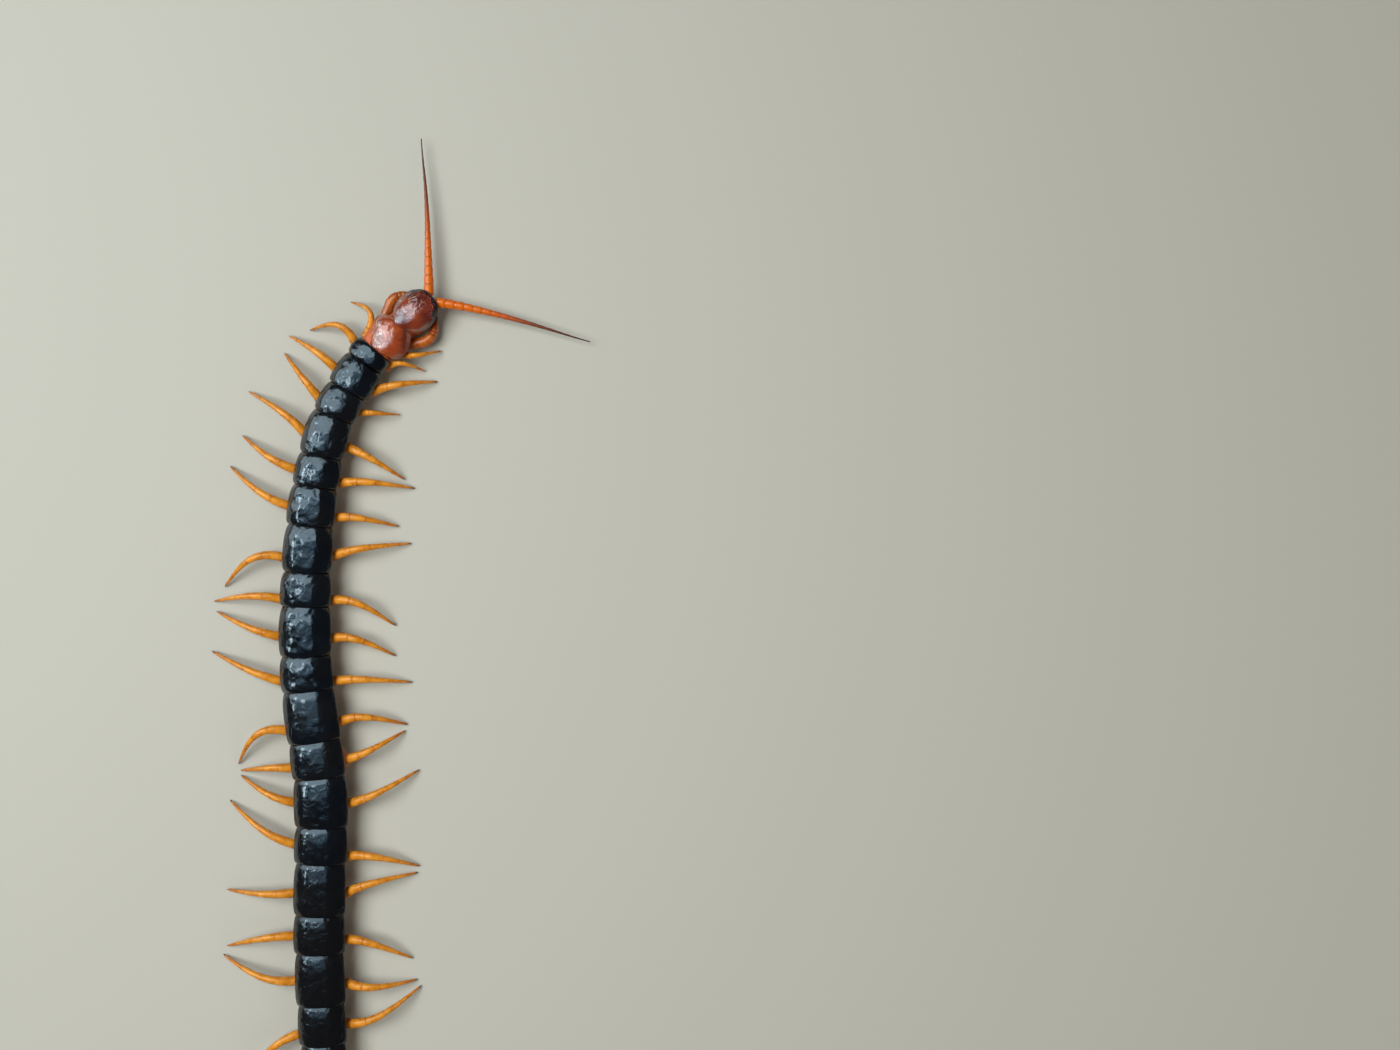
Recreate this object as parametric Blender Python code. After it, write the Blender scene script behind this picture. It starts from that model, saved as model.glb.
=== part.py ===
"""Giant centipede (Scolopendra subspinipes group), life size, resting on the floor in a lazy curve.

The front of the body bears right and the head bears right again. +Z is up, the animal faces +Y,
and its feet stand on z = 0. Sizes below are millimetres and degrees; meshes are made in metres.
"""
import math

import bpy
import bmesh
from mathutils import Matrix, Vector

MM = 0.001
CLEARANCE = 0.3          # gap kept between two nodes that touch in life

# Body plan: one row for each back plate, from the neck to the tail:
# its length along the body, its width, and the heading of the body there (0 faces +Y, 90 faces +X).
BACK_PLATES = (
    (7.2, 8.5, 48), (3.3, 8.4, 37), (6.4, 9.0, 31), (5.8, 8.8, 30), (8.1, 9.2, 16), (6.3, 9.3, 11),
    (7.7, 9.8, 7), (9.1, 10.1, 4), (6.8, 10.3, 2), (9.7, 10.6, 0), (6.9, 10.7, -4), (10.0, 10.9, -8),
    (7.2, 10.8, -8), (9.6, 10.9, -2), (7.2, 10.7, 2), (10.1, 10.5, 1), (7.5, 10.4, 0), (10.1, 10.1, -2),
    (7.8, 9.7, -3), (9.2, 9.4, -3), (8.4, 8.8, -3),
)

# Legs: one row for each back plate that carries a walking leg:
# seat (how far back along the plate, 0 to 1), reach over the floor, swing forward of square (+)
# or behind it (-), and bow forward (+) or back (-).
LEFT_LEGS = (
    (0.85, 7.8, 16, 2.7), (0.55, 10.7, -18, 2.6), (0.66, 13.1, 4, 0.7), (0.74, 12.9, 23, 0.2),
    (0.65, 15.7, 21, 1.0), (0.60, 14.3, 20, -0.6), (0.58, 15.8, 25, -0.8), (0.75, 14.7, -27, 2.6),
    (0.85, 15.3, -3, 1.0), (0.64, 15.4, 20, -0.3), (0.75, 17.1, 26, -0.1), (0.78, 13.5, -23, 3.0),
    (0.72, 12.3, 3, 0.6), (0.55, 13.7, 24, -0.4), (0.60, 17.2, 28, -0.7), (0.63, 15.4, -1, 0.0),
    (0.64, 15.7, -10, 1.0), (0.58, 17.0, 17, -1.0), (0.78, 14.3, -35, 1.5), (0.76, 17.5, -48, 2.4),
)
RIGHT_LEGS = (
    (0.56, 7.3, 56, -0.6), (0.36, 7.0, 32, 0.8), (0.64, 12.6, 41, 0.3), (0.45, 7.4, 28, -0.1),
    (0.65, 12.8, -15, 0.5), (0.75, 14.6, 6, 0.5), (0.73, 12.3, -2, 0.6), (0.63, 15.4, 13, 0.5),
    (0.82, 13.5, -22, 1.6), (0.67, 12.9, -18, 1.4), (0.81, 15.2, -7, 0.6), (0.71, 13.3, -12, 1.4),
    (0.64, 12.9, 18, -0.4), (0.58, 15.2, 23, -0.5), (0.85, 14.4, -9, 1.1), (0.63, 14.4, 15, 0.8),
    (0.73, 13.9, -20, 1.3), (0.66, 13.9, -3, -0.5), (0.60, 15.9, 22, -1.2), (0.74, 16.5, -42, 2.0),
)
TAIL_LEG_REACH = 24.0    # last pair, trailed behind the body
TAIL_LEG_SPLAY = 15.0
TAIL_LEG_BOW = 1.6
TAIL_LEG_OUT = 2.2       # from the midline to the root of a last leg

# Trunk section: heights above the floor, and how far the flank stands in under the back plates
BELLY = 1.3
FLANK_LOW = 2.1
FLANK_HIGH = 4.5
MARGIN = 5.6             # edge of a back plate
BACK = 8.0               # midline of a back plate
FLANK_SHARE = 0.41       # flank's distance from the midline, as a share of the plate's width
# The neck end carries the poison claws on a pair of shoulders: distance back, distance out
SHOULDERS = ((0.15, 3.2), (1.3, 4.6), (2.6, 3.95), (4.0, 3.5))
PLATE_RISE = 0.35        # step from the soft skin up to a back plate
PLATE_SPOTS = (-1.0, -0.88, -0.62, -0.32, 0.0, 0.32, 0.62, 0.88, 1.0)
PLATE_ARCH = 2.4         # power of the arch across the back: higher is flatter

LEG_ROOT_HEIGHT = 3.2
LEG_KNEE_HEIGHT = 4.5
LEG_KNEE = 0.36          # share of the reach at which the leg is highest
LEG_SIDES = 7
FULL_LEG_REACH = 12.5    # shorter legs are thinner in proportion
# Girth of a leg: share of the reach, radius. Each dip is a joint.
LEG_GIRTH = (
    (0.00, 0.94), (0.09, 1.08), (0.21, 0.98), (0.27, 0.78), (0.35, 0.88), (0.46, 0.74),
    (0.50, 0.60), (0.60, 0.64), (0.71, 0.44), (0.82, 0.40), (0.92, 0.27), (1.00, 0.24),
)
TAIL_LEG_GIRTH = (
    (0.00, 1.22), (0.05, 1.34), (0.20, 1.36), (0.255, 1.05), (0.31, 1.20), (0.43, 1.10),
    (0.47, 0.86), (0.52, 0.98), (0.63, 0.84), (0.67, 0.66), (0.80, 0.58), (0.92, 0.36), (1.00, 0.26),
)
TAIL_LEG_SPINES = ((0.09, 0.55), (0.15, 0.95), (0.22, 0.35))   # share of reach, turn round the leg
SPINE_LENGTH = 0.9
SPINE_RADIUS = 0.3

# Head: distance ahead of the neck, half width of the head plate, its top, the height of its edge,
# half width of the capsule under it, underside
HEAD_RINGS = (
    (0.15, 2.9, 6.4, 5.0, 2.6, 3.5), (0.5, 3.35, 6.9, 5.0, 3.0, 3.35), (1.3, 3.8, 7.3, 5.0, 3.4, 3.3),
    (2.6, 4.12, 7.5, 5.05, 3.7, 3.3), (4.0, 4.2, 7.45, 5.15, 3.7, 3.3), (5.3, 3.98, 7.2, 5.3, 3.2, 3.3),
    (6.3, 3.55, 6.9, 5.45, 2.35, 3.3), (7.2, 2.85, 6.55, 5.6, 1.4, 3.3), (7.8, 2.1, 6.25, 5.65, 0.8, 3.35),
    (8.15, 1.35, 6.0, 5.6, 0.45, 3.6),
)
HEAD_PLATE_SPOTS = (-1.0, -0.86, -0.6, -0.3, 0.0, 0.3, 0.6, 0.86, 1.0)
HEAD_ARCH = 2.2
HEAD_EDGE = 0.3          # thickness of the head plate's edge
HEAD_TURN = 1.0          # the head bears a little right of the first plate

# Poison-claw base: the shelf that the first plate's node sends forward under the head:
# distance ahead of the neck, half width, top, underside
SHELF_RINGS = (
    (0.0, 2.9, 2.95, 1.3), (0.8, 3.2, 2.95, 1.3), (1.6, 3.6, 2.95, 1.3), (2.6, 3.6, 2.9, 1.35),
    (3.6, 3.1, 2.85, 1.4), (4.6, 2.3, 2.75, 1.5), (5.2, 1.6, 2.6, 1.6),
)

# Poison claw: distance ahead of the neck, distance out, height, radius
CLAW_SPINE = (
    (-0.49, 4.09, 2.6, 0.95), (0.0, 4.6, 2.65, 1.1), (0.7, 5.05, 2.7, 1.16), (1.6, 5.28, 2.7, 1.14),
    (2.5, 5.25, 2.65, 1.05), (3.3, 4.95, 2.55, 0.95), (4.2, 4.35, 2.45, 0.84), (5.1, 3.5, 2.35, 0.66),
    (5.9, 2.6, 2.2, 0.5), (6.45, 1.65, 2.1, 0.3), (6.7, 0.85, 2.0, 0.12),
)
CLAW_FACING = 39.0       # its root faces this far outward of straight ahead
CLAW_SIDES = 9

# Antennae: headings read at even steps from the root to the tip
ANTENNA_LENGTH = 31.2
ANTENNA_SEGMENTS = 17
ANTENNA_SIDES = 6
ANTENNA_ROOT_AHEAD = 7.9
ANTENNA_ROOT_OUT = 1.12
ANTENNA_ROOT_HEIGHT = 4.3
ANTENNA_TIP_HEIGHT = 2.4
ANTENNA_ROOT_RADIUS = 0.88
ANTENNA_TIP_RADIUS = 0.2
ANTENNA_TAPER = 1.4
ANTENNA_FACING = 45.0
LEFT_ANTENNA_HEADINGS = (-1, -2, -2, -4, -6.5, -4)
RIGHT_ANTENNA_HEADINGS = (96, 102, 104, 106, 107.5, 105)

# Eyes: four small lenses on a low pad at each front corner of the head plate
EYE_PAD_AHEAD = 6.0
EYE_PAD_OUT = 2.85
EYE_PAD_HEIGHT = 6.07
EYE_PAD_RADII = (0.66, 0.52)
EYE_PAD_THICKNESS = 0.2
EYE_PAD_GAP = 0.2
EYE_PAD_FACING = (0.54, 0.24, 0.84)   # outward, ahead, up
EYE_LENS_RADIUS = 0.25
EYE_LENS_SPOTS = ((-0.36, -0.16), (0.0, 0.26), (0.04, -0.28), (0.38, 0.04))

NODES = []


def srgb(red, green, blue):
    """Colour given as 0 to 255 screen values."""
    def linear(value):
        value /= 255.0
        return value / 12.92 if value <= 0.04045 else ((value + 0.055) / 1.055) ** 2.4
    return (linear(red), linear(green), linear(blue), 1.0)


FINISHES = {
    "black shell": (srgb(26, 29, 34), 0.22),
    "red shell": (srgb(132, 48, 26), 0.24),
    "amber leg": (srgb(206, 128, 40), 0.34),
    "orange feeler": (srgb(198, 74, 30), 0.34),
    "orange claw": (srgb(188, 84, 34), 0.28),
    "eye": (srgb(18, 12, 12), 0.12),
}


def make_material(name, finish):
    colour, roughness = FINISHES[finish]
    material = bpy.data.materials.new(name + "_finish")
    material.use_nodes = True
    shader = material.node_tree.nodes["Principled BSDF"]
    shader.inputs["Base Color"].default_value = colour
    shader.inputs["Roughness"].default_value = roughness
    shader.inputs["Metallic"].default_value = 0.0
    return material


def clear_scene():
    for obj in list(bpy.data.objects):
        bpy.data.objects.remove(obj, do_unlink=True)


# Centreline of the body

PLATE_STARTS = [0.0]
for plate_length, plate_width, plate_heading in BACK_PLATES:
    PLATE_STARTS.append(PLATE_STARTS[-1] + plate_length)
BODY_LENGTH = PLATE_STARTS[-1]
PLATE_MIDDLES = [(a + b) / 2 for a, b in zip(PLATE_STARTS, PLATE_STARTS[1:])]


def blend(stations, values, at):
    """Straight-line reading of values given at rising stations, held beyond both ends."""
    if at <= stations[0]:
        return values[0]
    for (left, right), (low, high) in zip(zip(stations, stations[1:]), zip(values, values[1:])):
        if at <= right:
            return low + (high - low) * (at - left) / (right - left)
    return values[-1]


def heading_at(back):
    return blend(PLATE_MIDDLES, [row[2] for row in BACK_PLATES], back)


def width_at(back):
    return blend(PLATE_MIDDLES, [row[1] for row in BACK_PLATES], back)


def flank_at(back):
    """How far the flank stands from the midline."""
    if back < SHOULDERS[-1][0]:
        return blend([row[0] for row in SHOULDERS], [row[1] for row in SHOULDERS], back)
    return FLANK_SHARE * width_at(back)


def ahead_vector(heading):
    angle = math.radians(heading)
    return Vector((math.sin(angle), math.cos(angle), 0.0))


def right_vector(heading):
    angle = math.radians(heading)
    return Vector((math.cos(angle), -math.sin(angle), 0.0))


STRIDE = 0.1
CENTRELINE = [Vector((0.0, 0.0, 0.0))]
while len(CENTRELINE) <= BODY_LENGTH / STRIDE:
    middle_of_step = (len(CENTRELINE) - 0.5) * STRIDE
    CENTRELINE.append(CENTRELINE[-1] - ahead_vector(heading_at(middle_of_step)) * STRIDE)


def body_point(back, right, height):
    """A point given by its distance back from the neck, to the right of the midline and up."""
    if back <= 0.0:
        heading = heading_at(0.0) + HEAD_TURN
        on_line = ahead_vector(heading) * -back
    else:
        heading = heading_at(back)
        step = min(int(back / STRIDE), len(CENTRELINE) - 2)
        on_line = CENTRELINE[step].lerp(CENTRELINE[step + 1], back / STRIDE - step)
    return on_line + right_vector(heading) * right + Vector((0.0, 0.0, height))


# Skins and nodes

def skin_over(rings):
    """A closed mesh over rings of points, each ring with the same count, capped at both ends."""
    shell = bmesh.new()
    rows = [[shell.verts.new(point) for point in ring] for ring in rings]
    count = len(rows[0])
    for row, following in zip(rows, rows[1:]):
        for k in range(count):
            after = (k + 1) % count
            shell.faces.new((row[k], row[after], following[after], following[k]))
    shell.faces.new(reversed(rows[0]))
    shell.faces.new(rows[-1])
    bmesh.ops.recalc_face_normals(shell, faces=shell.faces)
    mesh = bpy.data.meshes.new("skin")
    shell.to_mesh(mesh)
    shell.free()
    return mesh


def biggest_body(mesh):
    """Keeps the largest connected surface of a mesh."""
    shell = bmesh.new()
    shell.from_mesh(mesh)
    waiting = set(shell.verts)
    bodies = []
    while waiting:
        body = {waiting.pop()}
        edge_of_search = list(body)
        while edge_of_search:
            vertex = edge_of_search.pop()
            for edge in vertex.link_edges:
                other = edge.other_vert(vertex)
                if other not in body:
                    body.add(other)
                    edge_of_search.append(other)
        waiting -= body
        bodies.append(body)
    keep = max(bodies, key=len)
    bmesh.ops.delete(shell, geom=[v for v in shell.verts if v not in keep], context="VERTS")
    shell.to_mesh(mesh)
    shell.free()


def fuse(mesh, extras):
    """One closed mesh from a body and the pieces rooted in it, by a Boolean union."""
    pieces = bpy.data.collections.new("pieces")
    helpers = []
    for extra in extras:
        helper = bpy.data.objects.new("piece", extra)
        pieces.objects.link(helper)
        helpers.append(helper)
    body = bpy.data.objects.new("body", mesh)
    bpy.context.scene.collection.objects.link(body)
    union = body.modifiers.new("union", "BOOLEAN")
    union.operation = "UNION"
    union.operand_type = "COLLECTION"
    union.collection = pieces
    union.solver = "EXACT"
    bpy.context.view_layer.update()
    graph = bpy.context.evaluated_depsgraph_get()
    fused = bpy.data.meshes.new_from_object(body.evaluated_get(graph))
    for obj in helpers + [body]:
        bpy.data.objects.remove(obj, do_unlink=True)
    bpy.data.collections.remove(pieces)
    biggest_body(fused)
    return fused


def add_node(name, mesh, anchor, finish, animal):
    """Puts a millimetre mesh into the scene in metres, with its origin on the anchor point."""
    mesh.name = name
    mesh.transform(Matrix.Translation(-anchor))
    mesh.transform(Matrix.Scale(MM, 4))
    mesh.materials.clear()
    mesh.materials.append(make_material(name, finish))
    mesh.shade_smooth()
    mesh.set_sharp_from_angle(angle=math.radians(40))
    obj = bpy.data.objects.new(name, mesh)
    bpy.context.scene.collection.objects.link(obj)
    obj.parent = animal
    obj.location = anchor * MM
    NODES.append(obj)


# Trunk

def back_arch(share):
    return 1.0 - abs(share) ** PLATE_ARCH


def trunk_ring(back, half, rise):
    """Section of the trunk: half is the plate's half width there, rise 0 in a groove, 1 on a plate."""
    sunk = PLATE_RISE * (1.0 - rise)
    edge = half - sunk
    flank = flank_at(back)
    ring = []
    for share in PLATE_SPOTS:
        height = MARGIN + (BACK - MARGIN) * back_arch(share) - sunk
        ring.append((edge * share, height))
    right_side = (
        (edge - 0.08, MARGIN - 0.42 - sunk * 0.5), (flank + 0.12, FLANK_HIGH + 0.18),
        (flank, FLANK_HIGH - 0.1), (flank, FLANK_LOW), (flank * 0.80, BELLY + 0.12),
    )
    ring += right_side
    ring.append((0.0, BELLY))
    ring += [(-across, height) for across, height in reversed(right_side)]
    return [body_point(back, across, height) for across, height in ring]


def plate_rings(index, first_gap, last_gap):
    """Rings for one back plate: a groove, a step up, the plate with rounded corners, a step down."""
    start = PLATE_STARTS[index]
    end = PLATE_STARTS[index + 1]
    length = end - start
    half = BACK_PLATES[index][1] / 2
    outline = (
        (0.42, 0.91, 0.6), (length * 0.18, 0.95, 1.0), (length * 0.36, 0.985, 1.0),
        (length * 0.58, 1.0, 1.0), (length * 0.86, 0.985, 1.0), (length - 0.32, 0.93, 1.0),
    )
    rings = [trunk_ring(start + first_gap, half * 0.91, 0.0), trunk_ring(start + 0.34, half * 0.90, 0.0)]
    for along, share, rise in outline:
        rings.append(trunk_ring(start + along, half * share, rise))
    rings.append(trunk_ring(end - 0.24, half * 0.91, 0.0))
    if last_gap:
        rings.append(trunk_ring(end - last_gap, half * 0.91, 0.0))
    return rings


def shelf_ring(ahead, half, top, bottom, count):
    """Section of the low shelf under the head, with its points in the same order as a trunk ring."""
    spots = [(half * share, top) for share in PLATE_SPOTS]
    middle = (top + bottom) / 2
    right_side = (
        (half + 0.05, top - 0.1), (half + 0.1, middle + 0.2), (half + 0.1, middle),
        (half, bottom + 0.25), (half * 0.75, bottom + 0.05),
    )
    spots += right_side
    spots.append((0.0, bottom))
    spots += [(-across, height) for across, height in reversed(right_side)]
    assert len(spots) == count
    return [body_point(-ahead, across, height) for across, height in spots]


def build_first_trunk(animal):
    rings = plate_rings(0, 0.15, CLEARANCE / 2)
    for ahead, half, top, bottom in SHELF_RINGS:
        rings.insert(0, shelf_ring(ahead, half, top, bottom, len(rings[-1])))
    add_node("trunk_01", skin_over(rings), body_point(0.0, 0.0, BELLY), "red shell", animal)


def build_trunk(animal):
    """The trunk behind the first plate, in lengths of two plates."""
    for index in range(1, len(BACK_PLATES), 2):
        rings = plate_rings(index, CLEARANCE / 2, 0.0)
        rings += plate_rings(index + 1, 0.02, CLEARANCE / 2)
        name = "trunk_%02d_%02d" % (index + 1, index + 2)
        anchor = body_point(PLATE_STARTS[index], 0.0, BELLY)
        add_node(name, skin_over(rings), anchor, "black shell", animal)


# Limbs

def circle(centre, side, up, radius, count):
    points = []
    for k in range(count):
        angle = 2 * math.pi * k / count
        points.append(centre + side * (radius * math.cos(angle)) + up * (radius * math.sin(angle)))
    return points


def leg_point(root, tip, bow, knee_height, share):
    """The middle of a leg at a share of its reach: bowed sideways, up to the knee and down."""
    point = root.lerp(tip, share)
    point += bow * (4 * share * (1 - share) * (1.4 - 0.8 * share))
    if share < LEG_KNEE:
        point.z = root.z + (knee_height - root.z) * math.sin(share / LEG_KNEE * math.pi / 2)
    else:
        past_knee = (share - LEG_KNEE) / (1 - LEG_KNEE)
        point.z = knee_height * (1 - past_knee ** 1.6)
    return point


def leg_frames(root, face, tip, bow, knee_height, girth, scale):
    """Centre, side, up and radius for each ring of a leg, from its root face to its flat foot."""
    frames = []
    for share, radius in girth:
        centre = leg_point(root, tip, bow, knee_height, share)
        if share == 0.0:
            along = face
        else:
            before = leg_point(root, tip, bow, knee_height, max(share - 0.03, 0.0))
            after = leg_point(root, tip, bow, knee_height, min(share + 0.03, 1.0))
            along = (after - before).normalized()
        flat_along = Vector((along.x, along.y, 0.0)).normalized()
        side = flat_along.cross(Vector((0.0, 0.0, 1.0)))
        up = side.cross(along) if share < 1.0 else flat_along
        frames.append((centre, side, up, radius * scale))
    return frames


def leg_skin(frames):
    return skin_over([circle(c, side, up, radius, LEG_SIDES) for c, side, up, radius in frames])


def build_walking_legs(animal):
    for sign, side_name, rows in ((-1, "left", LEFT_LEGS), (1, "right", RIGHT_LEGS)):
        for index, (seat, reach, swing, bow_size) in enumerate(rows):
            back = PLATE_STARTS[index] + seat * BACK_PLATES[index][0]
            heading = heading_at(back)
            outward = right_vector(heading) * sign
            ahead = ahead_vector(heading)
            out = flank_at(back) + CLEARANCE
            root = body_point(back, sign * out, LEG_ROOT_HEIGHT)
            angle = math.radians(swing)
            direction = outward * math.cos(angle) + ahead * math.sin(angle)
            tip = root + direction * reach
            tip.z = 0.0
            bow = (ahead * math.cos(angle) - outward * math.sin(angle)) * bow_size
            scale = min(1.0, 0.35 + 0.65 * reach / FULL_LEG_REACH)
            knee = LEG_ROOT_HEIGHT + (LEG_KNEE_HEIGHT - LEG_ROOT_HEIGHT) * scale
            frames = leg_frames(root, outward, tip, bow, knee, LEG_GIRTH, scale)
            name = "leg_%s_%02d" % (side_name, index + 1)
            add_node(name, leg_skin(frames), root, "amber leg", animal)


def spine_mesh(root, direction, length, radius):
    """A tapered thorn whose base is sunk into what it grows from."""
    direction = direction.normalized()
    side = direction.orthogonal().normalized()
    up = direction.cross(side)
    rings = [
        circle(root - direction * radius, side, up, radius, 5),
        circle(root + direction * length, side, up, radius * 0.18, 5),
    ]
    return skin_over(rings)


def build_tail_legs(animal):
    """The last pair: thick, trailed behind, with thorns on the inner side of the first joint."""
    back = BODY_LENGTH - CLEARANCE / 2
    heading = heading_at(back)
    rearward = -ahead_vector(heading)
    for sign, side_name in ((-1, "left"), (1, "right")):
        outward = right_vector(heading) * sign
        root = body_point(back, sign * TAIL_LEG_OUT, LEG_ROOT_HEIGHT) + rearward * CLEARANCE
        angle = math.radians(TAIL_LEG_SPLAY)
        direction = rearward * math.cos(angle) + outward * math.sin(angle)
        tip = root + direction * TAIL_LEG_REACH
        tip.z = 0.0
        bow = (outward * math.cos(angle) - rearward * math.sin(angle)) * TAIL_LEG_BOW
        frames = leg_frames(root, rearward, tip, bow, LEG_KNEE_HEIGHT, TAIL_LEG_GIRTH, 1.0)
        spines = []
        for share, turn in TAIL_LEG_SPINES:
            centre = leg_point(root, tip, bow, LEG_KNEE_HEIGHT, share)
            inward = -outward * math.cos(turn) + Vector((0.0, 0.0, math.sin(turn)))
            lean = (inward + rearward * 0.9).normalized()
            spines.append(spine_mesh(centre + inward * 1.0, lean, SPINE_LENGTH, SPINE_RADIUS))
        name = "leg_%s_21" % side_name
        add_node(name, fuse(leg_skin(frames), spines), root, "amber leg", animal)


# Head and what it carries

def head_ring(ahead, half, top, edge, under, bottom):
    """Section of the head: a domed plate with a thin edge over a narrower capsule."""
    ring = []
    for share in HEAD_PLATE_SPOTS:
        ring.append((half * share, edge + (top - edge) * (1.0 - abs(share) ** HEAD_ARCH)))
    lower = edge - HEAD_EDGE
    right_side = ((under + 0.1, lower - 0.02), (under, (lower + bottom) / 2), (under * 0.72, bottom + 0.1))
    ring += right_side
    ring.append((0.0, bottom))
    ring += [(-across, height) for across, height in reversed(right_side)]
    return [body_point(-ahead, across, height) for across, height in ring]


def build_head(animal):
    rings = [head_ring(*row) for row in HEAD_RINGS]
    anchor = body_point(-HEAD_RINGS[0][0], 0.0, HEAD_RINGS[0][3])
    add_node("head", skin_over(rings), anchor, "red shell", animal)


def tube_along(points, radii, first_along, sides):
    """A tapered tube through points; its first ring faces along a chosen direction."""
    rings = []
    last = len(points) - 1
    for k, (point, radius) in enumerate(zip(points, radii)):
        if k == 0:
            along = first_along
        else:
            along = (points[min(k + 1, last)] - points[k - 1]).normalized()
        flat_along = Vector((along.x, along.y, 0.0)).normalized()
        side = flat_along.cross(Vector((0.0, 0.0, 1.0)))
        rings.append(circle(point, side, side.cross(along), radius, sides))
    return skin_over(rings)


def build_poison_claws(animal):
    heading = heading_at(0.0) + HEAD_TURN
    for sign, side_name in ((-1, "left"), (1, "right")):
        points = [body_point(-ahead, sign * out, height) for ahead, out, height, radius in CLAW_SPINE]
        radii = [row[3] for row in CLAW_SPINE]
        mesh = tube_along(points, radii, ahead_vector(heading + sign * CLAW_FACING), CLAW_SIDES)
        add_node("forcipule_" + side_name, mesh, points[0], "orange claw", animal)


def antenna_course(root, headings):
    """Points along an antenna that turns through its headings and sinks towards its tip."""
    stops = [k / (len(headings) - 1) for k in range(len(headings))]
    pieces = ANTENNA_SEGMENTS * 2
    points = [root]
    for k in range(pieces):
        heading = blend(stops, headings, (k + 0.5) / pieces)
        step = ahead_vector(heading) * (ANTENNA_LENGTH / pieces)
        step.z = (ANTENNA_TIP_HEIGHT - ANTENNA_ROOT_HEIGHT) / pieces
        points.append(points[-1] + step)
    return points


def build_antennae(animal):
    rows = ((-1, "left", LEFT_ANTENNA_HEADINGS), (1, "right", RIGHT_ANTENNA_HEADINGS))
    for sign, side_name, headings in rows:
        root = body_point(-ANTENNA_ROOT_AHEAD, sign * ANTENNA_ROOT_OUT, ANTENNA_ROOT_HEIGHT)
        points = antenna_course(root, headings)
        radii = []
        for k in range(len(points)):
            share = k / (len(points) - 1)
            radius = ANTENNA_ROOT_RADIUS * (1 - share) ** ANTENNA_TAPER
            radius += ANTENNA_TIP_RADIUS * (1.1 - share * 0.5)
            radii.append(radius if k % 2 else radius * 0.88)
        facing = ahead_vector(heading_at(0.0) + HEAD_TURN + sign * ANTENNA_FACING)
        mesh = tube_along(points, radii, facing, ANTENNA_SIDES)
        add_node("antenna_" + side_name, mesh, root, "orange feeler", animal)


def eye_lens(centre, radius):
    shell = bmesh.new()
    bmesh.ops.create_icosphere(shell, subdivisions=1, radius=radius,
                               matrix=Matrix.Translation(centre))
    mesh = bpy.data.meshes.new("lens")
    shell.to_mesh(mesh)
    shell.free()
    return mesh


def build_eyes(animal):
    heading = heading_at(0.0) + HEAD_TURN
    ahead = ahead_vector(heading)
    for sign, side_name in ((-1, "left"), (1, "right")):
        outward = right_vector(heading) * (sign * EYE_PAD_FACING[0]) + ahead * EYE_PAD_FACING[1]
        outward = (outward + Vector((0.0, 0.0, EYE_PAD_FACING[2]))).normalized()
        along = (ahead - outward * ahead.dot(outward)).normalized()
        up = outward.cross(along) * -sign
        seat = body_point(-EYE_PAD_AHEAD, sign * EYE_PAD_OUT, EYE_PAD_HEIGHT)
        centre = seat + outward * EYE_PAD_GAP
        rings = []
        for step, radius in zip((0.0, EYE_PAD_THICKNESS), EYE_PAD_RADII):
            spots = circle(Vector((0.0, 0.0, 0.0)), along, up * 0.85, radius, 10)
            rings.append([centre + outward * step + spot for spot in spots])
        lens_base = centre + outward * (EYE_PAD_THICKNESS * 0.9)
        lenses = [eye_lens(lens_base + along * a + up * b, EYE_LENS_RADIUS) for a, b in EYE_LENS_SPOTS]
        add_node("eyes_" + side_name, fuse(skin_over(rings), lenses), centre, "eye", animal)


def centre_on_origin(animal):
    """Moves the animal so that the box round it stands centred on the origin, feet at z = 0."""
    bpy.context.view_layer.update()
    corners = [obj.matrix_world @ Vector(corner) for obj in NODES for corner in obj.bound_box]
    for axis in (0, 1):
        values = [corner[axis] for corner in corners]
        animal.location[axis] -= (min(values) + max(values)) / 2
    animal.location.z -= min(corner.z for corner in corners)
    bpy.context.view_layer.update()


def build():
    clear_scene()
    animal = bpy.data.objects.new("centipede", None)
    bpy.context.scene.collection.objects.link(animal)
    build_head(animal)
    build_eyes(animal)
    build_antennae(animal)
    build_poison_claws(animal)
    build_first_trunk(animal)
    build_trunk(animal)
    build_walking_legs(animal)
    build_tail_legs(animal)
    centre_on_origin(animal)


build()
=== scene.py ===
# %% [markdown]
# # Giant centipede, life size, at rest
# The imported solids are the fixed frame: they say where each part of the animal is. This lesson
# builds the looks around them, one part of the animal at a time: back plates, soft skin, belly
# plates, legs, head, feelers and poison claws. Sizes are worked out in millimetres, because the
# parts are small, and each finished piece is turned to metres when it is put in its place.

# %% Load the solids
import math
import bpy
import bmesh
import numpy as np
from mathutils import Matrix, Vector, noise


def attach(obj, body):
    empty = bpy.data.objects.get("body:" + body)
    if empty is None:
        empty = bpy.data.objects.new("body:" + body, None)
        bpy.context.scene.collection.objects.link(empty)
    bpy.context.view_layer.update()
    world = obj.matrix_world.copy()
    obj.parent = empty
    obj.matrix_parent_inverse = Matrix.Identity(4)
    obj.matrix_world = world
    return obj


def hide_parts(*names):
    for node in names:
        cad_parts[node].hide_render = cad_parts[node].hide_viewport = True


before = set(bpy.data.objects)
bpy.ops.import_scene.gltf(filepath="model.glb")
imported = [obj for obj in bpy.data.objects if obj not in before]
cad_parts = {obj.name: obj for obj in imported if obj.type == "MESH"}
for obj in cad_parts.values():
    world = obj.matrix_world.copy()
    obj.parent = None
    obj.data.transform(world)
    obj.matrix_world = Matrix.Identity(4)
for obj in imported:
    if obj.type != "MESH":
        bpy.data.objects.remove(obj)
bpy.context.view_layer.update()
MM = 0.001

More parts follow.
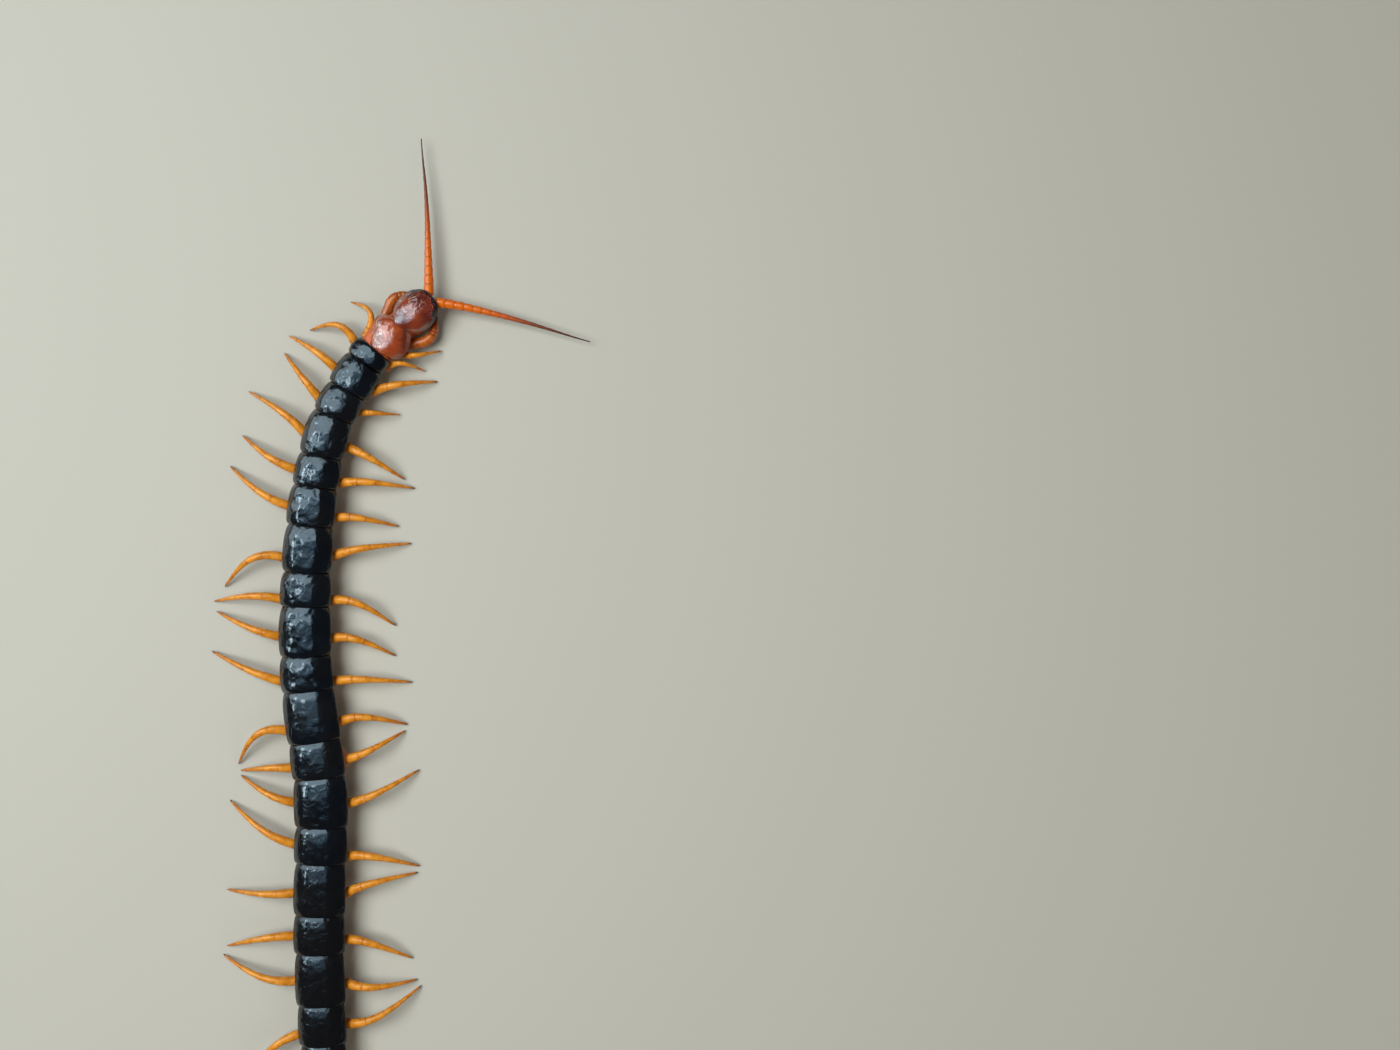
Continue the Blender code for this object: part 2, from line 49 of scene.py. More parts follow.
# %% [markdown]
# The animal is never straight. It would be hard to model each plate on the curve, so every piece is
# modelled straight, as on a bench, and then laid along the midline of the body. A Curve modifier
# could do that, but it measures the curve in its own way and would drift from the solids. So the
# midline is worked out from the same rows as the solids: each back plate's length, width and heading.

# %% Body plan
BACK_PLATES = (
    (7.2, 8.5, 48), (3.3, 8.4, 37), (6.4, 9.0, 31), (5.8, 8.8, 30), (8.1, 9.2, 16), (6.3, 9.3, 11),
    (7.7, 9.8, 7), (9.1, 10.1, 4), (6.8, 10.3, 2), (9.7, 10.6, 0), (6.9, 10.7, -4), (10.0, 10.9, -8),
    (7.2, 10.8, -8), (9.6, 10.9, -2), (7.2, 10.7, 2), (10.1, 10.5, 1), (7.5, 10.4, 0), (10.1, 10.1, -2),
    (7.8, 9.7, -3), (9.2, 9.4, -3), (8.4, 8.8, -3),
)
NECK = (1.18, 72.92)
HEAD_TURN = 1.0
STRIDE = 0.1
LENGTHS, WIDTHS, HEADINGS = np.array(BACK_PLATES, float).T
STARTS = np.concatenate(([0.0], np.cumsum(LENGTHS)))
BODY_LENGTH = float(STARTS[-1])
MIDDLES = (STARTS[:-1] + STARTS[1:]) / 2
MARGIN, BACK = 5.6, 8.0
SHOULDERS = ((0.15, 2.8), (1.2, 3.7), (2.4, 4.25), (3.6, 4.2), (4.8, 3.7))
FLANK_SHARE = 0.41


def heading_at(back):
    return np.interp(back, MIDDLES, HEADINGS)


def width_at(back):
    return np.interp(back, MIDDLES, WIDTHS)


def flank_at(back):
    shoulder = np.interp(back, [row[0] for row in SHOULDERS], [row[1] for row in SHOULDERS])
    return np.where(np.asarray(back) < SHOULDERS[-1][0], shoulder, FLANK_SHARE * width_at(back))


stride_angles = np.radians(heading_at((np.arange(int(BODY_LENGTH / STRIDE) + 60) + 0.5) * STRIDE))
strides = np.stack((np.sin(stride_angles), np.cos(stride_angles)), 1) * -STRIDE
MIDLINE = np.concatenate(([[0.0, 0.0]], np.cumsum(strides, 0)))


def on_body(points):
    """Straight body points (right, ahead of the neck, up) to their places on the curved animal."""
    right, ahead, up = np.asarray(points, float).T
    back = -ahead
    step = np.clip(back / STRIDE, 0, len(MIDLINE) - 1.001)
    low = step.astype(int)
    line = MIDLINE[low] + (MIDLINE[low + 1] - MIDLINE[low]) * (step - low)[:, None]
    angle = np.radians(np.where(back <= 0, heading_at(0.0) + HEAD_TURN, heading_at(back)))
    before_neck = np.maximum(ahead, 0.0)
    x = NECK[0] + line[:, 0] + np.cos(angle) * right + np.sin(angle) * before_neck
    y = NECK[1] + line[:, 1] - np.sin(angle) * right + np.cos(angle) * before_neck
    return np.stack((x, y, up), 1)


# %% [markdown]
# Bench work comes next. Three of these helpers are used all through: clear_bench puts away the
# selection, lay keeps the straight place of each point on the mesh, under the name "straight", so
# that a material can follow the part instead of the room, and show gives a finished piece its
# finish, hangs it on the root and hides the solids that it stands for.

# %% Bench helpers
def clear_bench():
    if bpy.context.object and bpy.context.object.mode != "OBJECT":
        bpy.ops.object.mode_set(mode="OBJECT")
    bpy.ops.object.select_all(action="DESELECT")


def settle():
    """Leaves edit mode and applies the object's own place, turn and scale."""
    if bpy.context.object.mode != "OBJECT":
        bpy.ops.object.mode_set(mode="OBJECT")
    bpy.ops.object.transform_apply(location=True, rotation=True, scale=True)
    return bpy.context.object


def apply_modifier(piece, kind, **settings):
    modifier = piece.modifiers.new(kind.title(), kind)
    for key, value in settings.items():
        setattr(modifier, key, value)
    bpy.context.view_layer.objects.active = piece
    bpy.ops.object.modifier_apply(modifier=modifier.name)


def pick(test, kind="VERT"):
    """In edit mode, selects the points, edges or faces whose middle passes a test."""
    bpy.ops.mesh.select_all(action="DESELECT")
    bpy.ops.mesh.select_mode(type=kind)
    work = bmesh.from_edit_mesh(bpy.context.object.data)
    if kind == "VERT":
        for point in work.verts:
            point.select = test(point.co)
    elif kind == "EDGE":
        for edge in work.edges:
            edge.select = test((edge.verts[0].co + edge.verts[1].co) / 2)
    else:
        for face in work.faces:
            face.select = test(face.calc_center_median())
    work.select_flush_mode()
    bmesh.update_edit_mesh(bpy.context.object.data)


def points_of(piece):
    flat = np.empty(len(piece.data.vertices) * 3)
    piece.data.vertices.foreach_get("co", flat)
    return flat.reshape(-1, 3)


def lay(piece, how):
    """Notes where each point is on the bench, then moves it to its place on the animal."""
    straight = points_of(piece)
    if "straight" not in piece.data.attributes:
        note = piece.data.attributes.new("straight", "FLOAT_VECTOR", "POINT")
        note.data.foreach_set("vector", straight.astype(np.float32).ravel())
    piece.data.vertices.foreach_set("co", (how(straight) * MM).ravel())
    piece.data.update()
    return piece


def copy_of(piece, name):
    twin = piece.copy()
    twin.data = piece.data.copy()
    twin.name = name
    twin.data.name = name
    bpy.context.scene.collection.objects.link(twin)
    return twin


def joined(name, pieces):
    clear_bench()
    for piece in pieces:
        piece.select_set(True)
    bpy.context.view_layer.objects.active = pieces[0]
    if len(pieces) > 1:
        bpy.ops.object.join()
    pieces[0].name = name
    pieces[0].data.name = name
    return pieces[0]


def show(piece, finish, nodes):
    """A finished piece: smooth faces, its finish, and the solids that it stands for."""
    piece.data.materials.clear()
    piece.data.materials.append(finish)
    piece.data.shade_smooth()
    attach(piece, "root")
    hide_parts(*nodes)
    return piece


def discard(piece):
    bpy.data.objects.remove(piece, do_unlink=True)


# %% [markdown]
# Two ways of making a shape cover nearly the whole animal. A tube is grown from a round face by
# extruding it a step and resizing it, again and again, as a potter pulls a neck: that gives legs,
# feelers, claws and the soft skin. A plate starts as a flat grid, is arched across by pushing its
# columns down, and is shaped along by resizing its rows: that gives back plates, head and belly.

# %% Growing a tube
def grow_tube(name, rings, sides, square=False):
    """A tube grown along +X. Each ring is (distance, half width, half height, height of its middle)."""
    clear_bench()
    start, wide, high, middle = rings[0]
    if square:
        bpy.ops.mesh.primitive_plane_add(size=2.0, rotation=(0.0, math.pi / 2, 0.0))
        settle()
        bpy.ops.object.mode_set(mode="EDIT")
        bpy.ops.mesh.select_all(action="SELECT")
        bpy.ops.mesh.bevel(offset=0.62, segments=3, affect="VERTICES")
    else:
        bpy.ops.mesh.primitive_circle_add(
            vertices=sides, radius=1.0, fill_type="NGON", rotation=(0.0, math.pi / 2, 0.0))
        settle()
        bpy.ops.object.mode_set(mode="EDIT")
    bpy.ops.mesh.select_all(action="SELECT")
    bpy.ops.transform.resize(value=(1.0, wide, high), center_override=(0.0, 0.0, 0.0))
    bpy.ops.transform.translate(value=(start, 0.0, middle))
    for past, ring in zip(rings, rings[1:]):
        step = (ring[0] - past[0], 0.0, ring[3] - past[3])
        bpy.ops.mesh.extrude_region_move(TRANSFORM_OT_translate={"value": step})
        bpy.ops.transform.resize(
            value=(1.0, ring[1] / past[1], ring[2] / past[2]), center_override=(ring[0], 0.0, ring[3]))
    bpy.ops.mesh.select_all(action="SELECT")
    bpy.ops.mesh.normals_make_consistent(inside=False)
    piece = settle()
    piece.name = name
    return piece


def rounded_end(distance, wide, high, middle, reach, steps=3):
    """Extra rings that close a tube's end in a dome."""
    rings = []
    for k in range(1, steps + 1):
        turn = k / steps * 1.45
        rings.append((distance + reach * math.sin(turn), wide * math.cos(turn), high * math.cos(turn), middle))
    return rings


# %% Shaping a plate
def arched_sheet(name, columns, rows, power):
    """A sheet arched across. Columns are half-width shares; each row is (ahead, half, edge height, rise)."""
    clear_bench()
    half_count = len(columns) - 1
    bpy.ops.mesh.primitive_grid_add(x_subdivisions=2 * half_count, y_subdivisions=len(rows) - 1, size=2.0)
    bpy.ops.object.mode_set(mode="EDIT")
    for k in range(half_count, 0, -1):
        was, share = k / half_count, columns[k]
        pick(lambda co: abs(abs(co.x) - was) < 0.001 and co.z > -0.001)
        bpy.ops.transform.resize(value=(share / was, 1.0, 1.0), center_override=(0.0, 0.0, 0.0))
        bpy.ops.transform.translate(value=(0.0, 0.0, -share ** power - 0.001))
    settle()
    piece = bpy.context.object
    bpy.ops.object.mode_set(mode="EDIT")
    for k, (ahead, half, edge, rise) in enumerate(rows):
        level = -1.0 + 2.0 * k / (len(rows) - 1)
        pick(lambda co: abs(co.y - level) < 0.001 and co.z < 50.0)
        bpy.ops.transform.translate(value=(0.0, 0.0, 1.001))
        bpy.ops.transform.resize(value=(half, 1.0, rise), center_override=(0.0, level, 0.0))
        bpy.ops.transform.translate(value=(0.0, ahead - level, edge + 100.0))
    bpy.ops.mesh.select_all(action="SELECT")
    bpy.ops.transform.translate(value=(0.0, 0.0, -100.0))
    settle()
    piece.name = name
    return piece


# %% [markdown]
# Shader maths is easier to read as a sum than as a list of nodes. This small class wraps a socket,
# so that adding or multiplying two of them adds the Math node, and one method makes any other node.

# %% Shader maths
class Wire:
    """A value inside a material."""

    def __init__(self, tree, socket):
        self.tree = tree
        self.socket = socket

    def node(self, kind, settings=None, values=None, output=0):
        made = self.tree.nodes.new(kind)
        for key, value in (settings or {}).items():
            if key == "stops":
                ramp = made.color_ramp
                while len(ramp.elements) < len(value):
                    ramp.elements.new(0.5)
                for stop, (position, colour) in zip(ramp.elements, value):
                    stop.position = position
                    stop.color = (*colour, 1.0)
            else:
                setattr(made, key, value)
        for key, value in (values or {}).items():
            if isinstance(value, Wire):
                self.tree.links.new(value.socket, made.inputs[key])
            else:
                made.inputs[key].default_value = value
        return Wire(self.tree, made.outputs[output])

    def maths(self, operation, *operands):
        return self.node("ShaderNodeMath", {"operation": operation}, dict(enumerate(operands)))

    def __add__(self, other):
        return self.maths("ADD", self, other)

    def __sub__(self, other):
        return self.maths("SUBTRACT", self, other)

    def __rsub__(self, other):
        return self.maths("SUBTRACT", other, self)

    def __mul__(self, other):
        return self.maths("MULTIPLY", self, other)

    def __truediv__(self, other):
        return self.maths("DIVIDE", self, other)

    __radd__ = __add__
    __rmul__ = __mul__

    def size(self):
        return self.maths("ABSOLUTE", self)

    def smooth(self, low, high, start=0.0, end=1.0):
        """Rises smoothly from start to end as the value goes from low to high."""
        return self.node("ShaderNodeMapRange", {"interpolation_type": "SMOOTHSTEP"},
                         {0: self, 1: low, 2: high, 3: start, 4: end})

    def tint(self, first, second):
        """A colour between two colours, by this value."""
        return self.node("ShaderNodeMix", {"data_type": "RGBA"}, {0: self, 6: first, 7: second}, output=2)

    def noise(self, scale, detail=2.0, distortion=0.0):
        return self.node("ShaderNodeTexNoise", None,
                         {"Vector": self, "Scale": scale, "Detail": detail, "Distortion": distortion})

    def axes(self):
        parts = self.node("ShaderNodeSeparateXYZ", None, {0: self})
        outputs = parts.socket.node.outputs
        return [Wire(self.tree, outputs[k]) for k in range(3)]

    def bump(self, distance, strength=1.0, under=None):
        values = {"Height": self, "Distance": distance, "Strength": strength}
        if under is not None:
            values["Normal"] = under
        return self.node("ShaderNodeBump", None, values)


def colour(red, green, blue):
    """A colour given as 0 to 255 screen values."""
    linear = []
    for value in (red, green, blue):
        value /= 255.0
        linear.append(value / 12.92 if value <= 0.04045 else ((value + 0.055) / 1.055) ** 2.4)
    return tuple(linear)


def start_finish(name):
    """A new material: the place in the room, and the straight place on the part."""
    material = bpy.data.materials.new(name)
    material.use_nodes = True
    tree = material.node_tree
    shader = tree.nodes["Principled BSDF"]
    room = Wire(tree, tree.nodes.new("ShaderNodeTexCoord").outputs["Object"])
    part = room.node("ShaderNodeAttribute", {"attribute_name": "straight"}, output="Vector")
    return material, shader, room, part


def end_finish(material, shader, base, roughness, normal, **others):
    named = {"Base Color": base, "Roughness": roughness, "Normal": normal}
    for name, value in others.items():
        named[name.replace("_", " ").title().replace("Ior", "IOR")] = value
    for name, value in named.items():
        if isinstance(value, Wire):
            material.node_tree.links.new(value.socket, shader.inputs[name])
        elif value is not None:
            shader.inputs[name].default_value = value
    return material


# %% [markdown]
# The plates of the back are chitin, a hard clear varnish over a dark layer. It is glossy and not
# quite flat, so that a soft light above it breaks into crinkled bright shapes. One function makes
# both colours of it: the near-black of the back and the chestnut of the head. The crinkle is bump
# from a noise with some distortion, at about the size of the dents. The black plates have two fine
# lines along them, which show most at the rear. The chestnut ones have crooked wrinkles on the rear
# left, drawn by the borders between Voronoi cells, with a painted pale highlight along each ridge and
# painted shade in the crease beside it. The head has a black front rim with painted pale glints
# behind it. All of these follow the plate, so they read the straight place.

# %% Plate finish
def rgba(red, green, blue):
    return (*colour(red, green, blue), 1.0)


def plate_finish(name, tones, seam_at=None, band=None, front=None):
    """Tones are deep, light, warm and rim. Band recolours the front strip, and front the head's front rim."""
    deep, light, warm, rim = tones
    varnish, varnish_blur, density, sheen = 0.65, 0.07, 1.5, (0.70, 0.90, 1.0, 1.0)
    material, shader, room, part = start_finish(name)
    across, along, up = part.axes()
    cloud = room.noise(330.0, 3.0, 0.6)
    patch = room.noise(120.0, 2.0, 0.4)
    shell = cloud.smooth(0.36, 0.66).tint(deep, light)
    shell = (patch.smooth(0.45, 0.62) * 0.7).tint(shell, warm)
    relief = room.noise(520.0, 1.5, 1.0) + room.noise(2600.0, 2.0) * 0.02
    if seam_at:
        seam = 1.0 - (across.size() - seam_at).size().smooth(0.0, 0.14)
        rear = room.axes()[1].smooth(-0.020, -0.045)
        shell = (rear * 0.75).tint(shell, warm)
        seam = seam * (rear * 0.85 + 0.15)
        shell = (seam * 0.55).tint(shell, rim)
        shell = across.size().smooth(4.7, 5.2).tint(shell, rim)
        varnish = rear * -0.35 + varnish
        relief = relief - seam * 0.04
    else:
        warped = part.node("ShaderNodeVectorMath", {"operation": "ADD"}, {0: part, 1: part.noise(0.7, 2.0) * 1.5})
        stretched = warped.node("ShaderNodeMapping", None, {0: warped, 3: (1.0, 0.45, 1.0)})
        cracks = stretched.node("ShaderNodeTexVoronoi", {"feature": "DISTANCE_TO_EDGE"},
                                {"Vector": stretched, "Scale": 0.85})
        crumpled = across.smooth(1.8, -0.6) * along.smooth(0.4, 1.6) * along.smooth(6.9, 5.2)
        crumpled = crumpled * part.noise(0.55, 1.0).smooth(0.40, 0.50)
        # Painted highlight: a pale tint along the wrinkle ridges on the lit left. Painted shade: a dark tint in the
        # creases beside them.
        painted_ridge_highlight = (1.0 - cracks.smooth(0.0, 0.10)) * crumpled
        painted_crease_shade = cracks.smooth(0.10, 0.15) * cracks.smooth(0.24, 0.16) * crumpled
        shell = (painted_crease_shade * 0.5).tint(shell, rgba(66, 18, 14))
        shell = (painted_ridge_highlight * 0.5).tint(shell, rgba(224, 180, 160))
        shell = across.size().smooth(2.6, 4.3, 0.0, 0.7).tint(shell, rim)
        relief = relief + painted_ridge_highlight * 0.6 - painted_crease_shade * 0.3
        edge = across.size().smooth(3.3, 4.2)
    if band:
        shell = along.smooth(*band[:2]).tint(shell, band[2])
    if front:
        reach = (across / 4.2) * (across / 4.2) + ((along - 3.6) / 4.6) * ((along - 3.6) / 4.6)
        edge = reach.smooth(0.76, 1.0)
        dark_rim = (reach + (cloud - 0.5) * 0.5).smooth(0.62, 0.86) * along.smooth(3.4, 5.6)
        shell = dark_rim.tint(shell, front)
        # Painted glints: small pale pink specks behind the black front rim.
        painted_glints = room.noise(4600.0, 1.0).smooth(0.57, 0.66) * reach.smooth(0.46, 0.64) * reach.smooth(0.94, 0.78)
        shell = (painted_glints * along.smooth(4.6, 5.8) * 0.5).tint(shell, rgba(206, 124, 106))
    if not seam_at:
        varnish, varnish_blur, density, sheen = 1.0 - edge * 0.8, 0.15, 1.8, (1.0, 1.0, 1.0, 1.0)
    return end_finish(material, shader, shell, cloud.smooth(0.3, 0.7, 0.18, 0.26), relief.bump(0.00018),
                      coat_weight=varnish, coat_roughness=varnish_blur, coat_ior=density,
                      specular_tint=sheen)


BLACK_TONES = (rgba(3, 4, 7), rgba(6, 8, 13), rgba(12, 9, 8), rgba(28, 16, 11))
COLLAR_TONES = (rgba(108, 36, 10), rgba(148, 60, 15), rgba(180, 82, 24), rgba(106, 34, 10))
HEAD_TONES = (rgba(84, 24, 11), rgba(120, 42, 15), rgba(150, 62, 20), rgba(50, 16, 10))
black_shell = plate_finish("black_plate", BLACK_TONES, seam_at=1.5)
first_shell = plate_finish("first_plate", COLLAR_TONES, band=(7.6, 7.75, rgba(200, 98, 36)))
head_shell = plate_finish("head_plate", HEAD_TONES, front=rgba(20, 8, 9))
print("plate finishes:", black_shell.name, first_shell.name, head_shell.name)

# %% [markdown]
# Each of the 21 segments carries one back plate. The plates lie like roof tiles: the rear edge of
# each lies over the lowered front edge of the next. One plate is modelled at an average size, given
# a thickness and smoothed, and then copied for each segment, fitted to its length and width. The
# rear plates are flatter and more nearly square than the front ones.

# %% Model one back plate
PLATE_HALF, PLATE_LONG = 5.3, 8.0
PLATE_COLUMNS = (0.0, 0.2, 0.4, 0.58, 0.74, 0.86, 0.94, 1.0)
PLATE_ROWS = ((-0.14, 0.84, 0.38), (0.04, 0.895, 0.27), (0.3, 0.945, 0.19), (0.9, 0.982, 0.1), (1.9, 1.0, 0.03),
              (3.4, 1.0, 0.0), (5.0, 0.988, 0.0), (6.2, 0.962, 0.08), (7.05, 0.925, 0.22), (7.55, 0.885, 0.38),
              (7.95, 0.84, 0.58), (8.25, 0.8, 0.8))


def plate_from(name, rows, columns, power, thickness, fineness=2):
    """A shell plate: an arched sheet with its side edges turned under, a thickness and a smooth skin."""
    plate = arched_sheet(name, columns, rows, power)
    apply_modifier(plate, "SOLIDIFY", thickness=thickness, offset=-1.0)
    apply_modifier(plate, "SUBSURF", levels=fineness, render_levels=fineness)
    return plate


plate_rows = [(ahead, PLATE_HALF * share, MARGIN - drop, BACK - MARGIN - 0.03) for ahead, share, drop in PLATE_ROWS]
back_plate = plate_from("back_plate", plate_rows, PLATE_COLUMNS, 2.8, 0.24)
print("one back plate:", len(back_plate.data.polygons), "faces, top", round(points_of(back_plate)[:, 2].max(), 2))

# %% Copy it along the back
dent_pattern = bpy.data.textures.new("dents", "CLOUDS")
dent_pattern.noise_scale = 0.0021
dent_pattern.noise_depth = 1


def dent(piece, depth):
    """Shallow dents in the shell itself, so that no two plates reflect alike."""
    apply_modifier(piece, "DISPLACE", texture=dent_pattern, direction="Z", strength=depth, mid_level=0.62)
    lowered = points_of(piece)
    lowered[:, 2] = np.minimum(lowered[:, 2], (BACK - 0.01) * MM)
    piece.data.vertices.foreach_set("co", lowered.ravel())


BOXY_FROM = 11
for k in range(1, len(BACK_PLATES)):
    rear_boxy = 0.15 + 0.35 * min(1.0, max(0.0, (k - BOXY_FROM + 3) / 3))
    front_boxy = 0.7 if k == 1 else rear_boxy
    flatness = 0.6 if k == 1 else 1.0

    def fitted(points, k=k, rear_boxy=rear_boxy, front_boxy=front_boxy, flatness=flatness):
        share = np.interp(points[:, 1], [row[0] for row in PLATE_ROWS], [row[1] for row in PLATE_ROWS])
        boxy = np.where(points[:, 1] > PLATE_LONG / 2, front_boxy, rear_boxy)
        right = points[:, 0] / PLATE_HALF * WIDTHS[k] / 2 / share ** boxy
        ahead = -STARTS[k + 1] + points[:, 1] / PLATE_LONG * LENGTHS[k]
        rise = (points[:, 2] - MARGIN) / (BACK - MARGIN)
        up = np.where(rise > 0, MARGIN + np.maximum(rise, 0.0) ** flatness * (BACK - MARGIN), points[:, 2])
        return on_body(np.stack((right, ahead, up), 1))
    tergite = lay(copy_of(back_plate, "tergite_%02d" % (k + 1)), fitted)
    dent(tergite, 0.00030 if k < BOXY_FROM else 0.00013)
    show(tergite, black_shell, ["trunk_%02d_%02d" % (k + k % 2, k + k % 2 + 1)])
discard(back_plate)
print("black back plates:", len(BACK_PLATES) - 1)

# %% [markdown]
# The first plate is the collar behind the head. It is chestnut, not black, it narrows to the rear,
# and it is turned a little left of the head, so it has rows and a heading of its own. Its front
# strip is an orange band that lies lower and goes in under the rear edge of the head. On both the
# collar and the head the shell is crumpled on the left, where the photo's light picks it out. The
# larger of those ridges are raised in the mesh itself, by a Displace modifier that reads a Voronoi
# texture: where two cells meet, the texture is lowest, and its ramp turns that into a ridge.

# %% Wrinkles in the shell
RIDGE = 0.05
RIDGE_LEVELS = ((0.0, 1.0), (0.14, 0.0), (0.28, 0.3), (1.0, 0.3))
wrinkle_pattern = bpy.data.textures.new("wrinkles", "VORONOI")
wrinkle_pattern.weight_1 = -1.0
wrinkle_pattern.weight_2 = 1.0
wrinkle_pattern.noise_scale = 0.95
wrinkle_pattern.use_color_ramp = True
levels = wrinkle_pattern.color_ramp.elements
while len(levels) < len(RIDGE_LEVELS):
    levels.new(0.5)
for level, (where, height) in zip(levels, RIDGE_LEVELS):
    level.position = where
    level.color = (height, height, height, 1.0)


def step_up(value, low, high):
    share = min(1.0, max(0.0, (value - low) / (high - low)))
    return share * share * (3 - 2 * share)


def crumple(piece, height):
    """Raises crossing ridges on the rear left of a plate that is still on the bench."""
    flat = points_of(piece)
    group = piece.vertex_groups.new(name="crumpled")
    for index, (right, ahead, up) in enumerate(flat):
        patch = noise.noise(Vector((right, ahead, 7.0)) * 0.42)
        weight = step_up(-right, -1.6, 0.6) * step_up(ahead, 0.4, 1.6) * step_up(-ahead, -6.9, -5.2)
        group.add([index], weight * step_up(patch, -0.20, 0.10), "REPLACE")
    piece.data.vertices.foreach_set("co", (flat * (1.0, 0.5, 1.0)).ravel())
    apply_modifier(piece, "DISPLACE", texture=wrinkle_pattern, direction="Z", strength=height,
                   mid_level=0.3, vertex_group="crumpled")
    piece.data.vertices.foreach_set("co", (points_of(piece) * (1.0, 2.0, 1.0)).ravel())


# %% Collar plate
FIRST_HEADING = 39.0
FIRST_ROWS = ((-6.95, 0.0, 2.3, 0.34), (-6.8, 0.05, 2.75, 0.24), (-6.35, 0.2, 3.2, 0.14), (-5.5, 0.38, 3.85, 0.05),
              (-4.3, 0.3, 4.2, 0.0), (-3.2, 0.0, 4.4, 0.0), (-2.3, -0.3, 4.4, 0.06), (-1.6, -0.46, 4.22, 0.17),
              (-1.1, -0.5, 3.95, 0.33), (-0.7, -0.45, 3.65, 0.47), (-0.35, -0.35, 3.25, 0.6), (-0.1, -0.25, 2.6, 0.78),
              (0.0, -0.2, 2.0, 1.0))
rows = [(ahead + 8.0, half, MARGIN - drop, BACK - MARGIN - 0.03) for ahead, centre, half, drop in FIRST_ROWS]
first_plate = plate_from("tergite_01", rows, PLATE_COLUMNS, 3.0, 0.22, fineness=3)


def on_collar(points):
    """Collar points to the row frame: shifted sideways row by row and turned to its own heading."""
    ahead = points[:, 1] - 8.0
    right = points[:, 0] + np.interp(ahead, [row[0] for row in FIRST_ROWS], [row[1] for row in FIRST_ROWS])
    angle = math.radians(FIRST_HEADING)
    x = NECK[0] + math.cos(angle) * right + math.sin(angle) * ahead
    y = NECK[1] - math.sin(angle) * right + math.cos(angle) * ahead
    return np.stack((x, y, points[:, 2]), 1)


crumple(first_plate, RIDGE)
lay(first_plate, on_collar)
dent(first_plate, 0.00022)
show(first_plate, first_shell, ["trunk_01"])
print("collar plate:", len(first_plate.data.polygons), "faces")

# %% [markdown]
# Under the plates the body is one soft tube of leathery skin, pinched where two segments meet. It
# could be made segment by segment, but that would leave seams, so one tube is grown from the neck to
# the tail. It starts from a square face with bevelled corners, because the flanks are nearly upright.

# %% Soft skin
def skin_rings():
    rings = [(-1.6, 1.9, 1.5, 4.3), (-0.8, 2.5, 1.9, 4.1), (0.1, 3.1, 2.3, 4.0)]
    for k in range(len(BACK_PLATES)):
        for share, waist in ((0.04, 0.93), (0.16, 0.985), (0.34, 1.0), (0.5, 1.01), (0.68, 1.0), (0.86, 0.98)):
            back = STARTS[k] + share * LENGTHS[k]
            wide = float(flank_at(back)) * waist
            rings.append((back, wide, 2.62 * (0.5 + 0.5 * waist), 4.12))
    rings.append((BODY_LENGTH - 0.25, 3.1, 2.2, 4.1))
    rings.append((BODY_LENGTH - 0.05, 2.2, 1.6, 4.1))
    return rings


def turned_back(points):
    """A tube grown along +X is turned to run back along the body."""
    return np.stack((points[:, 1], -points[:, 0], points[:, 2]), 1)


SKIN_BULGES = ((float(STARTS[12]) + 4.6, 1.6, 2.6), (float(STARTS[14]) + 5.8, 0.8, 2.0))


def skin_place(points):
    """The skin bulges out at two leg roots on the right, as in the photo. Above the plates' edge it stays."""
    spots = turned_back(points)
    for back, size, reach in SKIN_BULGES:
        bulge = size * np.exp(-((-spots[:, 1] - back) / reach) ** 2)
        bulge *= np.clip((5.7 - spots[:, 2]) / 1.4, 0.0, 1.0)
        spots[:, 0] += bulge * np.clip(spots[:, 0] / 3.0, 0.0, 1.0)
    return on_body(spots)


soft_skin = grow_tube("soft_skin", skin_rings(), 0, square=True)
apply_modifier(soft_skin, "SUBSURF", levels=1, render_levels=1)
lay(soft_skin, skin_place)
material, shader, room, part = start_finish("leathery_skin")
folds = room.noise(900.0, 3.0, 1.2)
tone = room.noise(260.0, 2.0)
skin_colour = tone.smooth(0.35, 0.68).tint(rgba(104, 56, 22), rgba(160, 96, 40))
along = part.axes()[0]
skin_colour = along.smooth(6.8, 9.5).tint(rgba(190, 82, 22), skin_colour)
skin_colour = (folds.smooth(0.52, 0.66) * 0.5).tint(skin_colour, rgba(60, 30, 14))
skin_finish = end_finish(material, shader, skin_colour, 0.46, folds.bump(0.00018), coat_weight=0.15)
TRUNK_NODES = [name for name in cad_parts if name.startswith("trunk")]
show(soft_skin, skin_finish, TRUNK_NODES)
print("soft skin:", len(soft_skin.data.polygons), "faces")

# %% [markdown]
# The belly plates are flatter than the back plates and amber brown, with two furrows. Again one is
# modelled and copied. They reach just below the skin and are the lowest part of the trunk.

# %% Belly plates
SHARE_OF_LENGTH = 0.86
belly_rows = []
for ahead, share in ((0.0, 0.74), (0.3, 0.88), (1.0, 0.97), (2.6, 1.0), (5.0, 1.0), (7.0, 0.95), (7.7, 0.86), (8.0, 0.74)):
    belly_rows.append((ahead, 3.2 * share, 0.0, 0.42))
belly_plate = arched_sheet("belly_plate", (0.0, 0.25, 0.5, 0.72, 0.88, 1.0), belly_rows, 3.0)
apply_modifier(belly_plate, "SOLIDIFY", thickness=0.2, offset=-1.0)
apply_modifier(belly_plate, "SUBSURF", levels=2, render_levels=2)
material, shader, room, part = start_finish("belly_plate")
across, along, up = part.axes()
furrow = 1.0 - (across.size() - 1.25).size().smooth(0.0, 0.16)
mottle = room.noise(420.0, 3.0)
belly_colour = mottle.smooth(0.35, 0.65).tint(rgba(120, 64, 24), rgba(168, 104, 44))
belly_colour = (furrow * 0.55).tint(belly_colour, rgba(64, 32, 14))
belly_finish = end_finish(material, shader, belly_colour, 0.3, (mottle * 0.5 - furrow).bump(0.0001), coat_weight=0.4)
sternites = []
